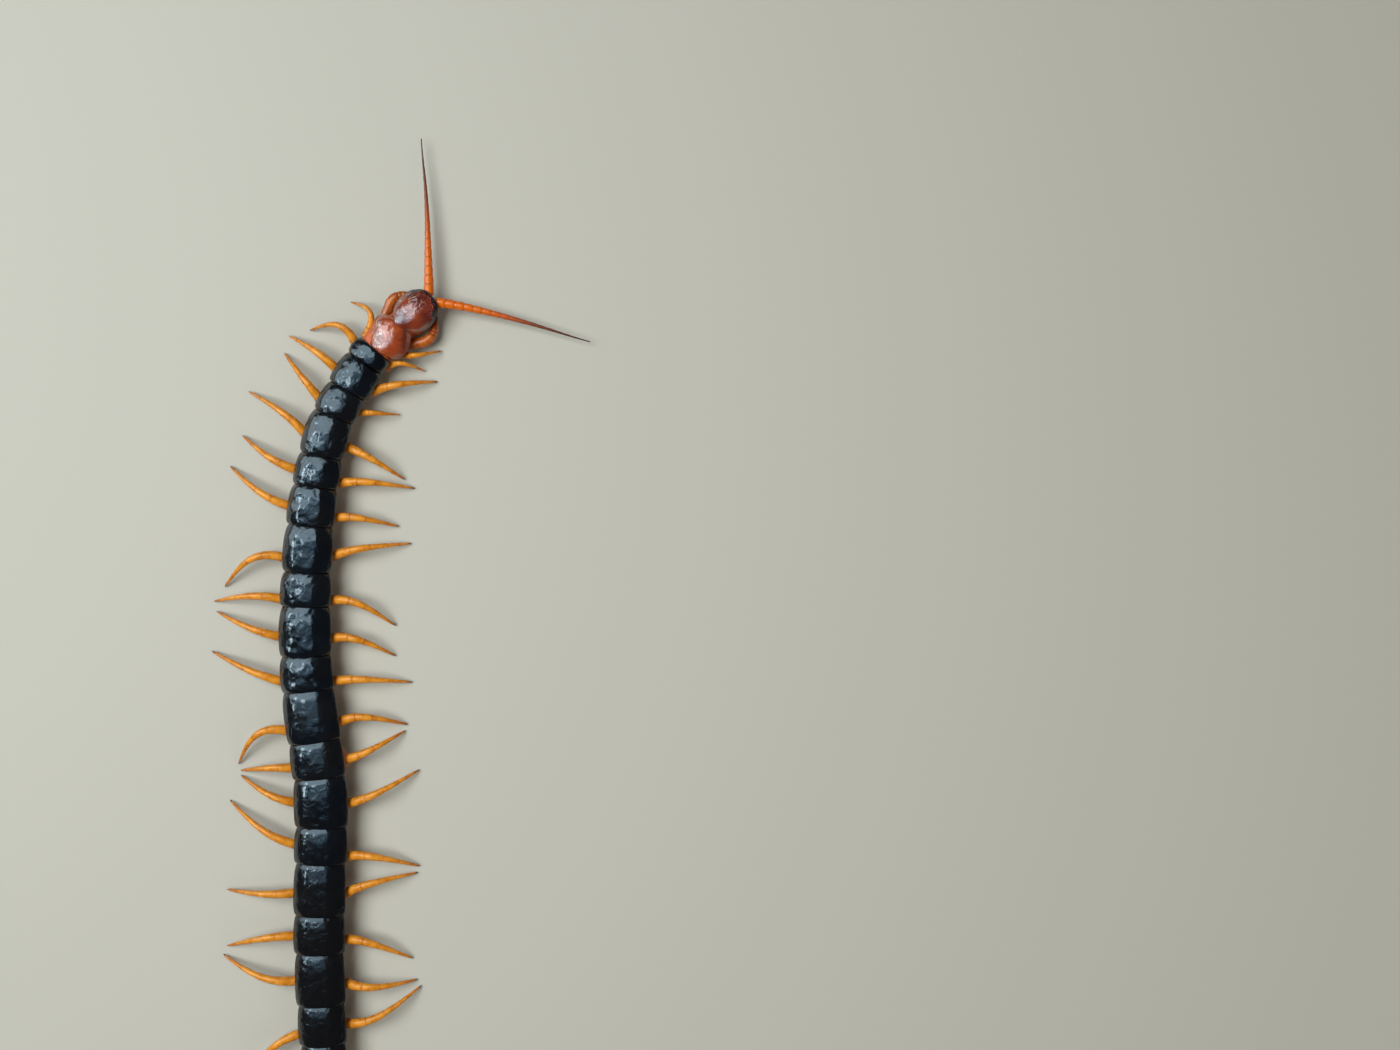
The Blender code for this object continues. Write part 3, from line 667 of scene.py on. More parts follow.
for k in range(1, len(BACK_PLATES)):
    def fitted(points, k=k):
        right = points[:, 0] / 5.3 * -WIDTHS[k] / 2
        ahead = -STARTS[k + 1] + LENGTHS[k] * (0.07 + SHARE_OF_LENGTH * points[:, 1] / 8.0)
        return on_body(np.stack((right, ahead, 1.73 - points[:, 2]), 1))
    node = "trunk_%02d_%02d" % (k + k % 2, k + k % 2 + 1)
    sternites.append(lay(copy_of(belly_plate, "sternite_%02d" % (k + 1)), fitted))
    show(sternites[-1], belly_finish, [node])
discard(belly_plate)
print("belly plates:", len(sternites))

# %% [markdown]
# A leg has a base joint, three long joints, a foot of two joints and a claw. Each joint flares a
# little at its far end and the next one starts narrower inside it. The leg is modelled once, lying
# straight along +X with a length of 1, and copied. Each copy is bent along its own course over the
# floor: out from the flank, up to the knee, and down to the foot, with a bow forward or back.

# %% Leg rows and courses
LEFT_LEGS = (
    (0.85, 7.8, 16, 2.7), (0.55, 10.7, -18, 2.6), (0.66, 13.1, 4, 0.7), (0.74, 12.9, 23, 0.2),
    (0.65, 15.7, 21, 1.0), (0.60, 14.3, 20, -0.6), (0.58, 15.8, 25, -0.8), (0.75, 14.7, -27, 2.6),
    (0.85, 15.3, -3, 1.0), (0.64, 15.4, 20, -0.3), (0.75, 17.1, 26, -0.1), (0.78, 13.5, -23, 3.0),
    (0.72, 12.3, 3, 0.6), (0.55, 13.7, 24, -0.4), (0.60, 17.2, 28, -0.7), (0.63, 15.4, -1, 0.0),
    (0.64, 15.7, -10, 1.0), (0.58, 17.0, 17, -1.0), (0.78, 14.3, -35, 1.5), (0.76, 17.5, -48, 2.4),
)
RIGHT_LEGS = (
    (0.56, 7.3, 56, -0.6), (0.36, 7.0, 32, 0.8), (0.64, 12.6, 41, 0.3), (0.45, 7.4, 28, -0.1),
    (0.65, 12.8, -15, 0.5), (0.75, 14.6, 6, 0.5), (0.73, 12.3, -2, 0.6), (0.63, 15.4, 13, 0.5),
    (0.82, 13.5, -22, 1.6), (0.67, 12.9, -18, 1.4), (0.81, 15.2, -7, 0.6), (0.71, 13.3, -12, 1.4),
    (0.64, 12.9, 18, -0.4), (0.58, 15.2, 23, -0.5), (0.85, 14.4, -9, 1.1), (0.63, 14.4, 15, 0.8),
    (0.73, 13.9, -20, 1.3), (0.66, 13.9, -3, -0.5), (0.60, 15.9, 22, -1.2), (0.74, 16.5, -42, 2.0),
)
ROOT_HEIGHT, KNEE_HEIGHT, KNEE, FULL_REACH = 3.2, 4.5, 0.36, 12.5
CLEARANCE = 0.3


class Course:
    """A path over the animal, in millimetres, that a straight piece is bent along."""

    def __init__(self, points, shares=None):
        self.points = np.asarray(points, float)
        steps = np.linalg.norm(np.diff(self.points, axis=0), axis=1)
        along = np.concatenate(([0.0], np.cumsum(steps)))
        self.length = along[-1]
        self.shares = along / along[-1] if shares is None else shares
        self.ways = np.gradient(self.points, axis=0)

    def read(self, rows, share):
        return np.stack([np.interp(share, self.shares, rows[:, k]) for k in range(3)], 1)

    def bend(self, points, scale=1.0):
        """Straight points (share of the path, left, up) to their places along it."""
        centre = self.read(self.points, points[:, 0])
        way = self.read(self.ways, points[:, 0])
        way /= np.linalg.norm(way, axis=1)[:, None]
        flat = way * (1.0, 1.0, 0.0)
        flat /= np.linalg.norm(flat, axis=1)[:, None]
        left = np.stack((-flat[:, 1], flat[:, 0], flat[:, 2]), 1)
        up = np.cross(way, left)
        beyond = (np.maximum(points[:, 0] - 1.0, 0.0) + np.minimum(points[:, 0], 0.0)) * self.length
        return centre + way * beyond[:, None] + left * points[:, 1:2] * scale + up * points[:, 2:3] * scale


def leg_course(root, tip, bow, knee_height):
    share = np.linspace(0.0, 1.0, 81)
    points = root + (tip - root) * share[:, None]
    points += bow * (4 * share * (1 - share) * (1.4 - 0.8 * share))[:, None]
    rising = root[2] + (knee_height - root[2]) * np.sin(share / KNEE * np.pi / 2)
    falling = knee_height * (1 - np.maximum((share - KNEE) / (1 - KNEE), 0.0) ** 1.6)
    points[:, 2] = np.where(share < KNEE, rising, falling) + 0.3 * share ** 8
    return Course(points, share)


def directions(back):
    angle = math.radians(float(heading_at(back)))
    return np.array((math.cos(angle), -math.sin(angle), 0.0)), np.array((math.sin(angle), math.cos(angle), 0.0))


def walking_leg_course(sign, index, row):
    seat, reach, swing, bow_size = row
    back = STARTS[index] + seat * LENGTHS[index]
    right, ahead = directions(back)
    outward = right * sign
    root = on_body([(sign * (float(flank_at(back)) + CLEARANCE), -back, ROOT_HEIGHT)])[0]
    angle = math.radians(swing)
    tip = root + (outward * math.cos(angle) + ahead * math.sin(angle)) * reach
    tip[2] = 0.0
    bow = (ahead * math.cos(angle) - outward * math.sin(angle)) * bow_size
    scale = min(1.0, 0.35 + 0.65 * reach / FULL_REACH)
    knee = ROOT_HEIGHT + (KNEE_HEIGHT - ROOT_HEIGHT) * scale
    return leg_course(root, tip, bow, knee), scale


# %% Model one leg
LEG_JOINTS = ((0.0, 0.07, 1.02, 1.05), (0.07, 0.27, 1.0, 0.86), (0.27, 0.50, 0.84, 0.66),
              (0.50, 0.71, 0.64, 0.47), (0.71, 0.86, 0.44, 0.33), (0.86, 0.955, 0.31, 0.22))
JOINT_PROFILE = ((0.0, 0.93), (0.035, 0.985), (0.14, 1.02), (0.5, 1.03), (0.84, 1.015), (0.94, 1.035),
                 (0.985, 1.0), (1.0, 0.93))


def jointed_rings(joints, profile, taller=1.06):
    rings = []
    for start, end, first, last in joints:
        for share, swell in profile:
            radius = (first + (last - first) * share) * swell
            rings.append((start + (end - start) * share, radius, radius * taller, 0.0))
    return rings


def spike(name, where, direction, length, radius):
    """A thorn: a cone with its base sunk into the part."""
    clear_bench()
    way = Vector(direction).normalized()
    middle = Vector(where) + way * (length / 2 - radius * 0.5)
    bpy.ops.mesh.primitive_cone_add(vertices=8, radius1=radius, radius2=radius * 0.12, depth=length, location=middle,
                                    rotation=way.to_track_quat("Z", "Y").to_euler())
    thorn = settle()
    thorn.name = name
    return thorn


def thorn_on(course, share, inward, slant, length, radius, depth):
    """A thorn standing on a bent leg: inward is its direction across the leg, slant its lean to the foot."""
    thorn = spike("thorn", (0.0, 0.0, 0.0), (slant, *inward[1:]), length, radius)
    spots = points_of(thorn) * (1.0 / course.length, 1.0, 1.0) + np.array((share, 0.0, 0.0)) + inward * depth
    thorn.data.vertices.foreach_set("co", spots.ravel())
    return lay(thorn, lambda points: course.bend(points))


LEG_BASE = [(-0.09, 1.22, 1.3, 0.0), (-0.05, 1.26, 1.32, 0.0), (-0.012, 1.16, 1.2, 0.0)]
plain_leg = grow_tube("leg_model", LEG_BASE + jointed_rings(LEG_JOINTS, JOINT_PROFILE), 10)
apply_modifier(plain_leg, "SUBSURF", levels=1, render_levels=1)
claw_rings = [(0.94, 0.20, 0.21, 0.0), (0.955, 0.17, 0.19, -0.01), (0.97, 0.13, 0.15, -0.04),
              (0.985, 0.08, 0.09, -0.10), (0.998, 0.02, 0.02, -0.19)]
plain_claw = grow_tube("claw_model", claw_rings, 8)
apply_modifier(plain_claw, "SUBSURF", levels=1, render_levels=1)
print("one leg:", len(plain_leg.data.polygons), "faces; one claw:", len(plain_claw.data.polygons))

# %% [markdown]
# Leg chitin is amber, thin and slightly clear. It is darker at each joint and turns red brown in the
# foot. A colour ramp along the leg's straight place draws that, and some light scatters inside.

# %% Leg finish
AMBER, DEEP_AMBER = colour(200, 124, 26), colour(168, 92, 22)
WARM_SHEEN = (1.0, 0.86, 0.64, 1.0)
RUST, TIP = colour(184, 102, 24), colour(146, 76, 22)


def leg_stops(joints, first, last):
    stops = [(0.0, colour(*first))]
    for joint in joints:
        stops += [(joint - 0.02, AMBER), (joint - 0.002, DEEP_AMBER), (joint + 0.01, AMBER)]
    return stops + [(0.82, RUST), (0.93, colour(*last)), (1.0, TIP)]


def leg_finish(name, joints, first, last):
    material, shader, room, part = start_finish(name)
    along, across, up = part.axes()
    banded = along.node("ShaderNodeValToRGB", {"stops": leg_stops(joints, first, last)}, {0: along})
    mottle = room.noise(700.0, 3.0, 0.5)
    tinted = mottle.smooth(0.3, 0.75, 0.0, 0.45).tint(banded, rgba(228, 156, 56))
    tinted = mottle.smooth(0.62, 0.35, 0.0, 0.3).tint(tinted, rgba(150, 82, 24))
    relief = mottle + room.noise(3200.0, 2.0) * 0.25
    return end_finish(material, shader, tinted, mottle.smooth(0.3, 0.7, 0.26, 0.38), relief.bump(0.00006),
                      coat_weight=0.2, coat_roughness=0.10, subsurface_weight=0.06, subsurface_scale=0.0008,
                      specular_tint=WARM_SHEEN)


amber_leg = leg_finish("amber_leg", (0.07, 0.27, 0.50, 0.71), (150, 70, 20), (158, 88, 26))
material, shader, room, part = start_finish("dark_claw")
claw_finish = end_finish(material, shader, room.noise(1500.0).tint(rgba(44, 22, 12), rgba(86, 42, 18)), 0.22,
                         room.noise(4000.0).bump(0.00002), coat_weight=0.4)

# %% Copy the legs
claws = []
thorns = []
for sign, side, rows in ((-1, "left", LEFT_LEGS), (1, "right", RIGHT_LEGS)):
    for index, row in enumerate(rows):
        course, scale = walking_leg_course(sign, index, row)
        node = "leg_%s_%02d" % (side, index + 1)
        leg = lay(copy_of(plain_leg, "walking_" + node), lambda points: course.bend(points, scale))
        show(leg, amber_leg, [node])
        claws.append(lay(copy_of(plain_claw, "claw_%d" % len(claws)), lambda points: course.bend(points, scale)))
        thorns.append(thorn_on(course, 0.70, np.array((0.0, 0.0, -1.0)), 1.4, 0.7 * scale, 0.1 * scale, 0.40 * scale))
print("walking legs:", len(claws), "with a spur on each foot")

# %% [markdown]
# The last pair of legs is different: thick, long, trailed behind, and with a few thorns on the inner
# side of the first joint, which the animal uses to grip. They are grown in the same way.

# %% Tail legs
TAIL_JOINTS = ((0.0, 0.045, 1.26, 1.32), (0.045, 0.255, 1.3, 1.24), (0.255, 0.47, 1.16, 0.98),
               (0.47, 0.67, 0.93, 0.74), (0.67, 0.845, 0.66, 0.46), (0.845, 0.955, 0.43, 0.24))
TAIL_REACH, TAIL_SPLAY, TAIL_BOW, TAIL_OUT = 24.0, 15.0, 1.6, 2.2
plain_tail_leg = grow_tube("tail_leg_model", [(-0.02, 1.1, 1.1, 0.0)] + jointed_rings(TAIL_JOINTS, JOINT_PROFILE), 12)
apply_modifier(plain_tail_leg, "SUBSURF", levels=1, render_levels=1)
tail_leg_finish = leg_finish("tail_leg", (0.045, 0.255, 0.47, 0.67), (150, 70, 20), (120, 56, 18))
tail_right, tail_ahead = directions(BODY_LENGTH - CLEARANCE / 2)
for sign, side in ((-1, "left"), (1, "right")):
    root = on_body([(sign * TAIL_OUT, -(BODY_LENGTH + CLEARANCE / 2), ROOT_HEIGHT)])[0]
    angle = math.radians(TAIL_SPLAY)
    outward = tail_right * sign
    tip = root + (outward * math.sin(angle) - tail_ahead * math.cos(angle)) * TAIL_REACH
    tip[2] = 0.0
    bow = (outward * math.cos(angle) + tail_ahead * math.sin(angle)) * TAIL_BOW
    course = leg_course(root, tip, bow, KNEE_HEIGHT)
    node = "leg_%s_21" % side
    leg = lay(copy_of(plain_tail_leg, "trailing_" + node), lambda points: course.bend(points))
    show(leg, tail_leg_finish, [node])
    claws.append(lay(copy_of(plain_claw, "claw_%d" % len(claws)), lambda points: course.bend(points)))
    for share, turn in ((0.09, 0.55), (0.15, 0.95), (0.22, 0.35), (0.12, 0.1), (0.19, -0.25)):
        inward = np.array((0.0, math.cos(turn) * (1 if sign > 0 else -1) * -1.0, math.sin(turn)))
        thorns.append(thorn_on(course, share, inward, 0.75, 0.95, 0.2, 1.15))
discard(plain_tail_leg)
discard(plain_leg)
discard(plain_claw)
LEG_NODES = [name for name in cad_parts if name.startswith("leg")]
show(joined("leg_claws", claws), claw_finish, LEG_NODES)
show(joined("leg_thorns", thorns), claw_finish, LEG_NODES)
print("claws and thorns joined")

# %% [markdown]
# The animal breathes through slits in its flanks, a pair on nine of the segments. Each is a dark rim
# round a darker hollow: a ring squeezed to a slit, modelled once and set on both flanks.

# %% Breathing slits
BREATHING_SEGMENTS = (3, 5, 8, 10, 12, 14, 16, 18, 20)
clear_bench()
bpy.ops.mesh.primitive_torus_add(
    major_radius=0.46, minor_radius=0.15, major_segments=24, minor_segments=8, rotation=(0.0, math.pi / 2, 0.0))
slit = settle()
bpy.ops.object.mode_set(mode="EDIT")
bpy.ops.mesh.select_all(action="SELECT")
bpy.ops.transform.resize(value=(0.8, 1.0, 0.6), center_override=(0.0, 0.0, 0.0))
settle()
slits = []
for segment in BREATHING_SEGMENTS:
    back = float(STARTS[segment - 1] + 0.24 * LENGTHS[segment - 1])
    for sign in (-1, 1):
        def on_flank(points):
            return on_body(points + (sign * (float(flank_at(back)) - 0.03), -back, 4.75))
        slits.append(lay(copy_of(slit, "slit_%d" % len(slits)), on_flank))
discard(slit)
show(joined("breathing_slits", slits), claw_finish, TRUNK_NODES)
print("breathing slits:", len(slits))

# %% [markdown]
# The head is one domed plate, like a shield, over a narrower capsule that carries the feelers in
# front. The plate is made as a back plate is, from a grid, with its rows taken from the solid's
# own rings. The capsule under it is a tube that narrows to a wedge.

# %% Head plate and capsule
HEAD_ROWS = ((-0.82, 1.1, 5.9, 7.52), (-0.7, 1.65, 5.7, 7.64), (-0.45, 2.15, 5.5, 7.7), (-0.1, 2.62, 5.35, 7.74),
             (0.3, 3.02, 5.2, 7.77), (0.9, 3.5, 5.05, 7.8), (1.7, 3.92, 5.0, 7.8), (2.8, 4.16, 5.05, 7.75),
             (4.0, 4.2, 5.15, 7.6), (5.3, 3.98, 5.3, 7.32), (6.3, 3.55, 5.45, 6.98), (7.2, 2.85, 5.6, 6.6),
             (7.75, 2.2, 5.65, 6.32), (8.08, 1.5, 5.6, 6.1), (8.2, 0.9, 5.55, 5.85))
HEAD_COLUMNS = (0.0, 0.17, 0.34, 0.5, 0.66, 0.8, 0.91, 1.0)
head_rows = [(ahead, half, edge, top - edge) for ahead, half, edge, top in HEAD_ROWS]
head_plate = plate_from("head_plate_shell", head_rows, HEAD_COLUMNS, 3.0, 0.22, fineness=3)
crumple(head_plate, RIDGE)
lay(head_plate, on_body)
dent(head_plate, 0.00022)
show(head_plate, head_shell, ["head"])

CAPSULE_ROWS = ((0.1, 2.55, 1.0, 4.3), (0.5, 2.95, 1.05, 4.3), (1.3, 3.3, 1.1, 4.3), (2.6, 3.6, 1.12, 4.3), (4.0, 3.6, 1.12, 4.35),
                (5.3, 3.1, 1.15, 4.4), (6.3, 2.3, 1.2, 4.5), (7.2, 1.45, 1.2, 4.55), (7.8, 0.85, 1.1, 4.6), (8.05, 0.5, 0.8, 4.7))
head_capsule = grow_tube("head_capsule", CAPSULE_ROWS, 0, square=True)
apply_modifier(head_capsule, "SUBSURF", levels=2, render_levels=2)


def turned_ahead(points):
    """A tube grown along +X is turned to run ahead of the neck."""
    return np.stack((-points[:, 1], points[:, 0], points[:, 2]), 1)


lay(head_capsule, lambda points: on_body(turned_ahead(points)))
material, shader, room, part = start_finish("orange_shell")
mottle = room.noise(600.0, 3.0, 0.6)
orange = mottle.smooth(0.3, 0.7).tint(rgba(140, 60, 18), rgba(196, 104, 38))
orange_shell = end_finish(material, shader, orange, 0.28, (mottle + room.noise(2800.0) * 0.2).bump(0.00008),
                          coat_weight=0.4, coat_roughness=0.1)
show(head_capsule, orange_shell, ["head"])
print("head:", len(head_plate.data.polygons), "faces on the plate")

# %% [markdown]
# Four simple eyes sit at each front corner of the head: shiny black beads, half sunk in the shell.

# %% Eyes
EYE_AHEAD, EYE_OUT, EYE_RADIUS = 6.0, 2.95, 0.23
EYE_SPOTS = ((-0.40, 0.02), (0.02, 0.22), (0.0, -0.30), (0.42, -0.06))
bpy.context.view_layer.update()


def on_shell(right, ahead):
    """Where a line dropped from above meets the head plate, and the way the shell faces there."""
    above = Vector(on_body([(right, ahead, 2 * BACK)])[0]) * MM
    met, place, facing, face = head_plate.ray_cast(above, Vector((0.0, 0.0, -1.0)))
    return place / MM, facing


material, shader, room, part = start_finish("eye_bead")
eye_finish = end_finish(material, shader, room.noise(3000.0).tint(rgba(8, 6, 8), rgba(34, 22, 24)), 0.07,
                        room.noise(9000.0).bump(0.000004), coat_weight=1.0, coat_roughness=0.03)
for sign, side in ((-1, "left"), (1, "right")):
    beads = []
    for ahead, out in EYE_SPOTS:
        clear_bench()
        seat, facing = on_shell(sign * (EYE_OUT + out), EYE_AHEAD + ahead)
        middle = seat - facing * (0.3 * EYE_RADIUS)
        bpy.ops.mesh.primitive_uv_sphere_add(segments=20, ring_count=12, radius=EYE_RADIUS, location=middle)
        beads.append(lay(settle(), lambda points: points))
    show(joined("ocelli_" + side, beads), eye_finish, ["eyes_" + side])
print("eyes: two groups of", len(EYE_SPOTS))

# %% [markdown]
# Each feeler is a row of seventeen short barrels that shrink towards the tip. The tube is grown with
# one set of rings for each barrel, then bent along the same course as its solid. Near the head it is
# bare and orange, and further out it is brown and velvety, so colour and roughness follow its length.

# %% Feelers
FEELER_LENGTH, FEELER_SEGMENTS = 31.2, 17
FEELER_ROOT = (1.12, 7.9, 4.3)
FEELER_TIP_HEIGHT = 2.4
FEELER_HEADINGS = {"left": (-1, -2, -2, -4, -6.5, -4), "right": (96, 102, 104, 106, 107.5, 105)}
FEELER_PROFILE = ((0.0, 0.90), (0.12, 0.97), (0.42, 1.01), (0.74, 1.04), (0.9, 1.02), (1.0, 0.90))


def feeler_radius(share):
    return 0.88 * (1 - share) ** 1.4 + 0.2 * (1.1 - share * 0.5)


def feeler_course(side, sign):
    right, ahead, up = FEELER_ROOT
    steps = 170
    shares = (np.arange(steps) + 0.5) / steps
    angles = np.radians(np.interp(shares, np.linspace(0, 1, 6), FEELER_HEADINGS[side]))
    sink = np.full(steps, (FEELER_TIP_HEIGHT - up) / steps)
    moves = np.stack((np.sin(angles) * FEELER_LENGTH / steps, np.cos(angles) * FEELER_LENGTH / steps, sink), 1)
    start = on_body([(sign * right, ahead, up)])
    return Course(np.concatenate((start, start + np.cumsum(moves, 0))))


feeler_rings = [(-0.014, 0.86, 0.86, 0.0)]
for k in range(FEELER_SEGMENTS):
    for share, swell in FEELER_PROFILE:
        along = (k + share) / FEELER_SEGMENTS * 0.996
        radius = feeler_radius(along) * swell
        feeler_rings.append((along, radius, radius, 0.0))
feeler_rings += rounded_end(0.996, feeler_rings[-1][1], feeler_rings[-1][1], 0.0, 0.003)
plain_feeler = grow_tube("feeler_model", feeler_rings, 10)
apply_modifier(plain_feeler, "SUBSURF", levels=1, render_levels=1)
material, shader, room, part = start_finish("feeler")
along, across, up = part.axes()
feeler_stops = [(0.0, colour(200, 94, 10)), (0.3, colour(196, 90, 12)), (0.48, colour(158, 66, 22)),
                (0.62, colour(110, 46, 24)), (0.8, colour(74, 38, 26)), (1.0, colour(58, 34, 28))]
ramped = along.node("ShaderNodeValToRGB", {"stops": feeler_stops}, {0: along})
turn = (along * FEELER_SEGMENTS).maths("FRACT", along * FEELER_SEGMENTS)
ring = (turn - 0.5).size().smooth(0.40, 0.5)
feeler_colour = (ring * 0.35).tint(ramped, rgba(110, 44, 14))
velvet = along.smooth(0.3, 0.6)
down = room.noise(3600.0, 2.0)
feeler_finish = end_finish(material, shader, feeler_colour, velvet * 0.3 + 0.26, down.bump(0.00005),
                           coat_weight=0.25, coat_roughness=0.12, specular_tint=WARM_SHEEN)
for sign, side in ((-1, "left"), (1, "right")):
    course = feeler_course(side, sign)
    feeler = lay(copy_of(plain_feeler, "feeler_" + side), lambda points: course.bend(points))
    show(feeler, feeler_finish, ["antenna_" + side])
discard(plain_feeler)
print("feelers:", FEELER_SEGMENTS, "barrels each")

# %% [markdown]
# The poison claws curl round the head from below: a stout joint, two short ones and a long dark
# fang. They stand on a broad plate under the head with two toothed lips. The solid's own spine of
# points gives the course, smoothed by reading it along a curve through them.

# %% Poison claws
CLAW_SPINE = np.array((
    (-0.49, 4.09, 2.6, 0.95), (0.0, 4.6, 2.65, 1.1), (0.7, 5.05, 2.7, 1.16), (1.6, 5.28, 2.7, 1.14),
    (2.5, 5.25, 2.65, 1.05), (3.3, 4.95, 2.55, 0.95), (4.2, 4.35, 2.45, 0.84), (5.1, 3.5, 2.35, 0.66),
    (5.9, 2.6, 2.2, 0.5), (6.45, 1.65, 2.1, 0.3), (6.7, 0.85, 2.0, 0.12),
))


def smooth_line(rows, steps=12):
    """More points between the given ones, on a curve that passes through them all."""
    padded = np.concatenate((2 * rows[:1] - rows[1:2], rows, 2 * rows[-1:] - rows[-2:-1]))
    made = []
    for k in range(1, len(padded) - 2):
        a, b, c, d = padded[k - 1:k + 3]
        for t in np.arange(steps) / steps:
            made.append(0.5 * (2 * b + (c - a) * t + (2 * a - 5 * b + 4 * c - d) * t * t
                               + (3 * b - a - 3 * c + d) * t ** 3))
    made.append(padded[-2])
    return np.array(made)


dense = smooth_line(np.concatenate((((-2.6, 3.1, 2.6, 0.9), (-1.5, 3.9, 2.6, 1.0)), CLAW_SPINE[1:])))
right_course = Course(on_body(np.stack((dense[:, 1], dense[:, 0], dense[:, 2]), 1)))
left_course = Course(on_body(np.stack((-dense[:, 1], dense[:, 0], dense[:, 2]), 1)))
FANG_FROM = 0.64
claw_breaks = ((0.0, 0.52), (0.52, 0.58), (0.58, 0.64))
claw_rings = []
for start, end in claw_breaks:
    for share, swell in JOINT_PROFILE:
        along = start + (end - start) * share
        radius = float(np.interp(along, right_course.shares, dense[:, 3])) * (swell if swell > 0.9 else 0.92)
        claw_rings.append((along, radius, radius * 1.04, 0.0))
plain_base = grow_tube("claw_base_model", claw_rings, 14)
apply_modifier(plain_base, "SUBSURF", levels=1, render_levels=1)
fang_rings = []
for along in (0.628, 0.642, 0.67, 0.71, 0.76, 0.81, 0.87, 0.92, 0.96, 0.985, 0.996):
    radius = float(np.interp(along, right_course.shares, dense[:, 3]))
    fang_rings.append((along, radius * (0.9 if along < FANG_FROM else 0.98), radius * 0.96, 0.0))
plain_fang = grow_tube("fang_model", fang_rings, 12)
apply_modifier(plain_fang, "SUBSURF", levels=1, render_levels=1)


def along_ramp_finish(name, stops, roughness):
    material, shader, room, part = start_finish(name)
    along, across, up = part.axes()
    ramped = along.node("ShaderNodeValToRGB", {"stops": stops}, {0: along})
    mottle = room.noise(600.0, 3.0, 0.5)
    tinted = (mottle.smooth(0.35, 0.7) * 0.35).tint(ramped, rgba(206, 120, 48))
    return end_finish(material, shader, tinted, roughness, (mottle + room.noise(2600.0) * 0.2).bump(0.00008),
                      coat_weight=0.5, coat_roughness=0.08, specular_tint=WARM_SHEEN)


claw_base_finish = along_ramp_finish("claw_base", [
    (0.0, colour(120, 50, 14)), (0.44, colour(160, 76, 22)), (0.515, colour(118, 50, 14)), (0.53, colour(160, 76, 24)),
    (0.575, colour(124, 52, 16)), (0.59, colour(164, 78, 26)), (0.64, colour(110, 44, 14))], 0.26)
material, shader, room, part = start_finish("fang")
along, across, up = part.axes()
fang_colour = along.node("ShaderNodeValToRGB", {"stops": [(0.64, colour(156, 70, 22)), (0.74, colour(104, 40, 16)),
                                                         (0.84, colour(34, 16, 12)), (1.0, colour(14, 9, 9))]}, {0: along})
fang_finish = end_finish(material, shader, fang_colour, 0.16, room.noise(2000.0).bump(0.00002), coat_weight=0.6)
for side, course in (("left", left_course), ("right", right_course)):
    base = lay(copy_of(plain_base, "poison_claw_" + side), lambda points: course.bend(points))
    show(base, claw_base_finish, ["forcipule_" + side])
    fang = lay(copy_of(plain_fang, "fang_" + side), lambda points: course.bend(points))
    show(fang, fang_finish, ["forcipule_" + side])
discard(plain_base)
discard(plain_fang)
print("poison claws: length", round(right_course.length, 1), "mm each")

# %% Plate under the head, its toothed lips and the palps
SHELF_ROWS = ((-3.2, 2.9, 0.55, 1.95), (-1.4, 3.3, 0.7, 2.0), (0.0, 3.0, 0.8, 2.13), (0.8, 3.25, 0.82, 2.13), (1.6, 3.6, 0.82, 2.13),
              (2.6, 3.62, 0.78, 2.13), (3.6, 3.1, 0.72, 2.13), (4.5, 2.35, 0.62, 2.12), (5.0, 1.75, 0.5, 2.1))
claw_plate = grow_tube("claw_plate", SHELF_ROWS, 0, square=True)
apply_modifier(claw_plate, "SUBSURF", levels=2, render_levels=2)
lay(claw_plate, lambda points: on_body(turned_ahead(points)))
show(claw_plate, orange_shell, ["trunk_01"])
teeth = []
for sign in (-1, 1):
    for k in range(4):
        tooth = spike("tooth", (sign * (0.35 + 0.36 * k), 5.0 - 0.1 * k, 2.1), (sign * 0.12, 1.0, 0.0), 0.62, 0.2)
        teeth.append(lay(tooth, on_body))
show(joined("claw_plate_teeth", teeth), claw_finish, ["trunk_01"])
palps = []
for sign in (-1, 1):
    line = smooth_line(np.array(((2.1, 4.2, 3.05), (2.3, 5.2, 3.0), (1.9, 6.3, 2.95), (1.1, 7.0, 2.9), (0.45, 7.2, 2.8))) * (sign, 1, 1))
    rings = jointed_rings(((0.0, 0.45, 0.5, 0.44), (0.45, 0.78, 0.42, 0.36), (0.78, 0.97, 0.32, 0.16)), JOINT_PROFILE, 0.8)
    palp = grow_tube("palp_model", rings, 10)
    apply_modifier(palp, "SUBSURF", levels=1, render_levels=1)
    course = Course(on_body(line))
    palps.append(lay(palp, lambda points: course.bend(points)))
show(joined("palps", palps), orange_shell, ["head"])
print("teeth:", len(teeth), "palps:", len(palps))

# %% [markdown]
# At the tail the last legs come out of two swollen side plates, with a small dome between them.

# %% Tail end
tail_parts = []
for sign in (-1, 1):
    rings = [(156.6, 0.7, 1.0, 3.3), (157.6, 1.15, 1.55, 3.3), (159.5, 1.5, 1.9, 3.3), (161.8, 1.6, 2.0, 3.3), (163.4, 1.45, 1.75, 3.25),
             (164.25, 1.15, 1.35, 3.2), (164.5, 0.9, 1.0, 3.2)]
    lobe = grow_tube("side_plate", rings, 12)
    apply_modifier(lobe, "SUBSURF", levels=1, render_levels=1)
    tail_parts.append(lay(lobe, lambda points: on_body(turned_back(points) + (sign * 2.35, 0.0, 0.0))))
dome_rings = [(160.0, 2.0, 1.9, 4.6), (162.4, 2.5, 2.25, 4.65), (163.8, 2.4, 2.15, 4.65)]
dome = grow_tube("tail_dome", dome_rings + rounded_end(163.8, 2.4, 2.15, 4.65, 1.4, 4), 12)
apply_modifier(dome, "SUBSURF", levels=1, render_levels=1)
tail_parts.append(lay(dome, lambda points: on_body(turned_back(points))))
show(joined("tail_plates", tail_parts), orange_shell, ["trunk_20_21"])
print("tail end made")

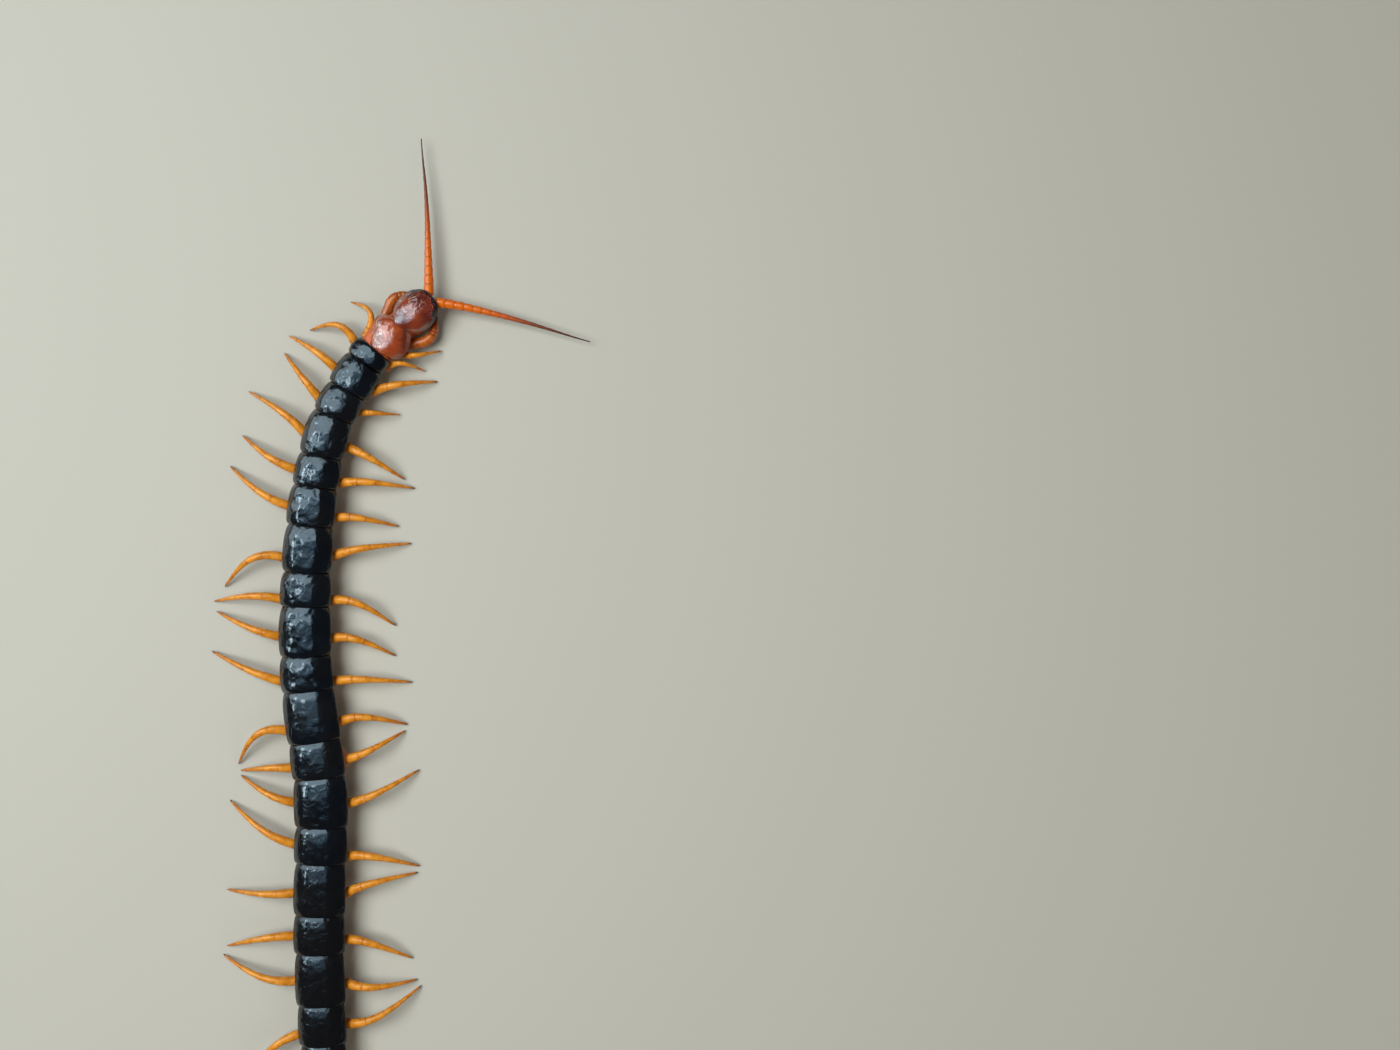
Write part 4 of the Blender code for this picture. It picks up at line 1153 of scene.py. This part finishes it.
# %% [markdown]
# The stage is plain: a pale floor and soft studio light. The camera looks straight down, as in the
# photo. The key light and a weak warm fill give the shades alone. What glints in the shell is a
# second set of panels on the left that gives no shade: a broad blue sky, a brighter haze ahead of
# the animal and three small bright ones, because the photo's plates mirror a sky with bright spots.

# %% Floor, lights and camera
clear_bench()
bpy.ops.mesh.primitive_plane_add(size=6.0)
floor = settle()
floor.name = "floor"
material, shader, room, part = start_finish("pale_floor")
floor.data.materials.append(end_finish(material, shader, rgba(174, 170, 156), 0.8, None))


def panel(name, place, aim, size, watts, tone, shades=True, shines=True):
    """An area light. One that only shades has no reflection; one that only shines gives no shade."""
    light = bpy.data.lights.new(name, "AREA")
    light.shape = "RECTANGLE"
    light.size, light.size_y = size
    light.energy = watts
    light.color = tone
    holder = bpy.data.objects.new(name, light)
    holder.location = place
    holder.rotation_euler = (Vector(aim) - Vector(place)).to_track_quat("-Z", "Y").to_euler()
    holder.visible_diffuse = shades
    holder.visible_glossy = shines
    bpy.context.scene.collection.objects.link(holder)


CAMERA_PLACE = (0.05986, 0.03338, 0.300)
BODY_MIDDLE = (-0.01, 0.02, 0.0)
panel("key", (-0.22, 0.09, 0.52), BODY_MIDDLE, (0.38, 0.38), 4.8, (0.90, 0.95, 1.0), shines=False)
panel("fill", (0.50, -0.20, 0.45), BODY_MIDDLE, (0.5, 0.5), 1.2, (1.0, 0.95, 0.88), shines=False)
panel("sky", (-0.17, 0.02, 0.55), (-0.17, 0.02, 0.0), (0.44, 0.22), 0.28, (0.48, 0.75, 1.0), shades=False)
panel("haze", (-0.24, 0.275, 0.45), (-0.24, 0.275, 0.0), (0.52, 0.39), 2.2, (0.74, 0.90, 1.0), shades=False)
panel("low_haze", (-0.56, 0.26, 0.24), (0.0, 0.08, 0.0), (0.36, 0.34), 1.1, (0.80, 0.92, 1.0), shades=False)
panel("window_1", (-0.40, 0.12, 0.36), BODY_MIDDLE, (0.09, 0.09), 0.36, (0.76, 0.92, 1.0), shades=False)
panel("window_2", (-0.44, -0.03, 0.34), BODY_MIDDLE, (0.07, 0.09), 0.27, (0.76, 0.92, 1.0), shades=False)
panel("lamp", (-0.22, 0.06, 0.50), BODY_MIDDLE, (0.06, 0.05), 0.12, (0.80, 0.93, 1.0), shades=False)
world = bpy.data.worlds.new("studio")
world.use_nodes = True
world.node_tree.nodes["Background"].inputs[0].default_value = (0.80, 0.88, 1.0, 1.0)
world.node_tree.nodes["Background"].inputs[1].default_value = 0.07
bpy.context.scene.world = world
camera_data = bpy.data.cameras.new("camera")
camera_data.sensor_width = 36.0
camera_data.lens = 36.0 * 300.0 / 280.0
camera_data.clip_start = 0.01
camera = bpy.data.objects.new("camera", camera_data)
camera.location = CAMERA_PLACE
bpy.context.scene.collection.objects.link(camera)
bpy.context.scene.camera = camera
bpy.context.scene.view_settings.view_transform = "Standard"
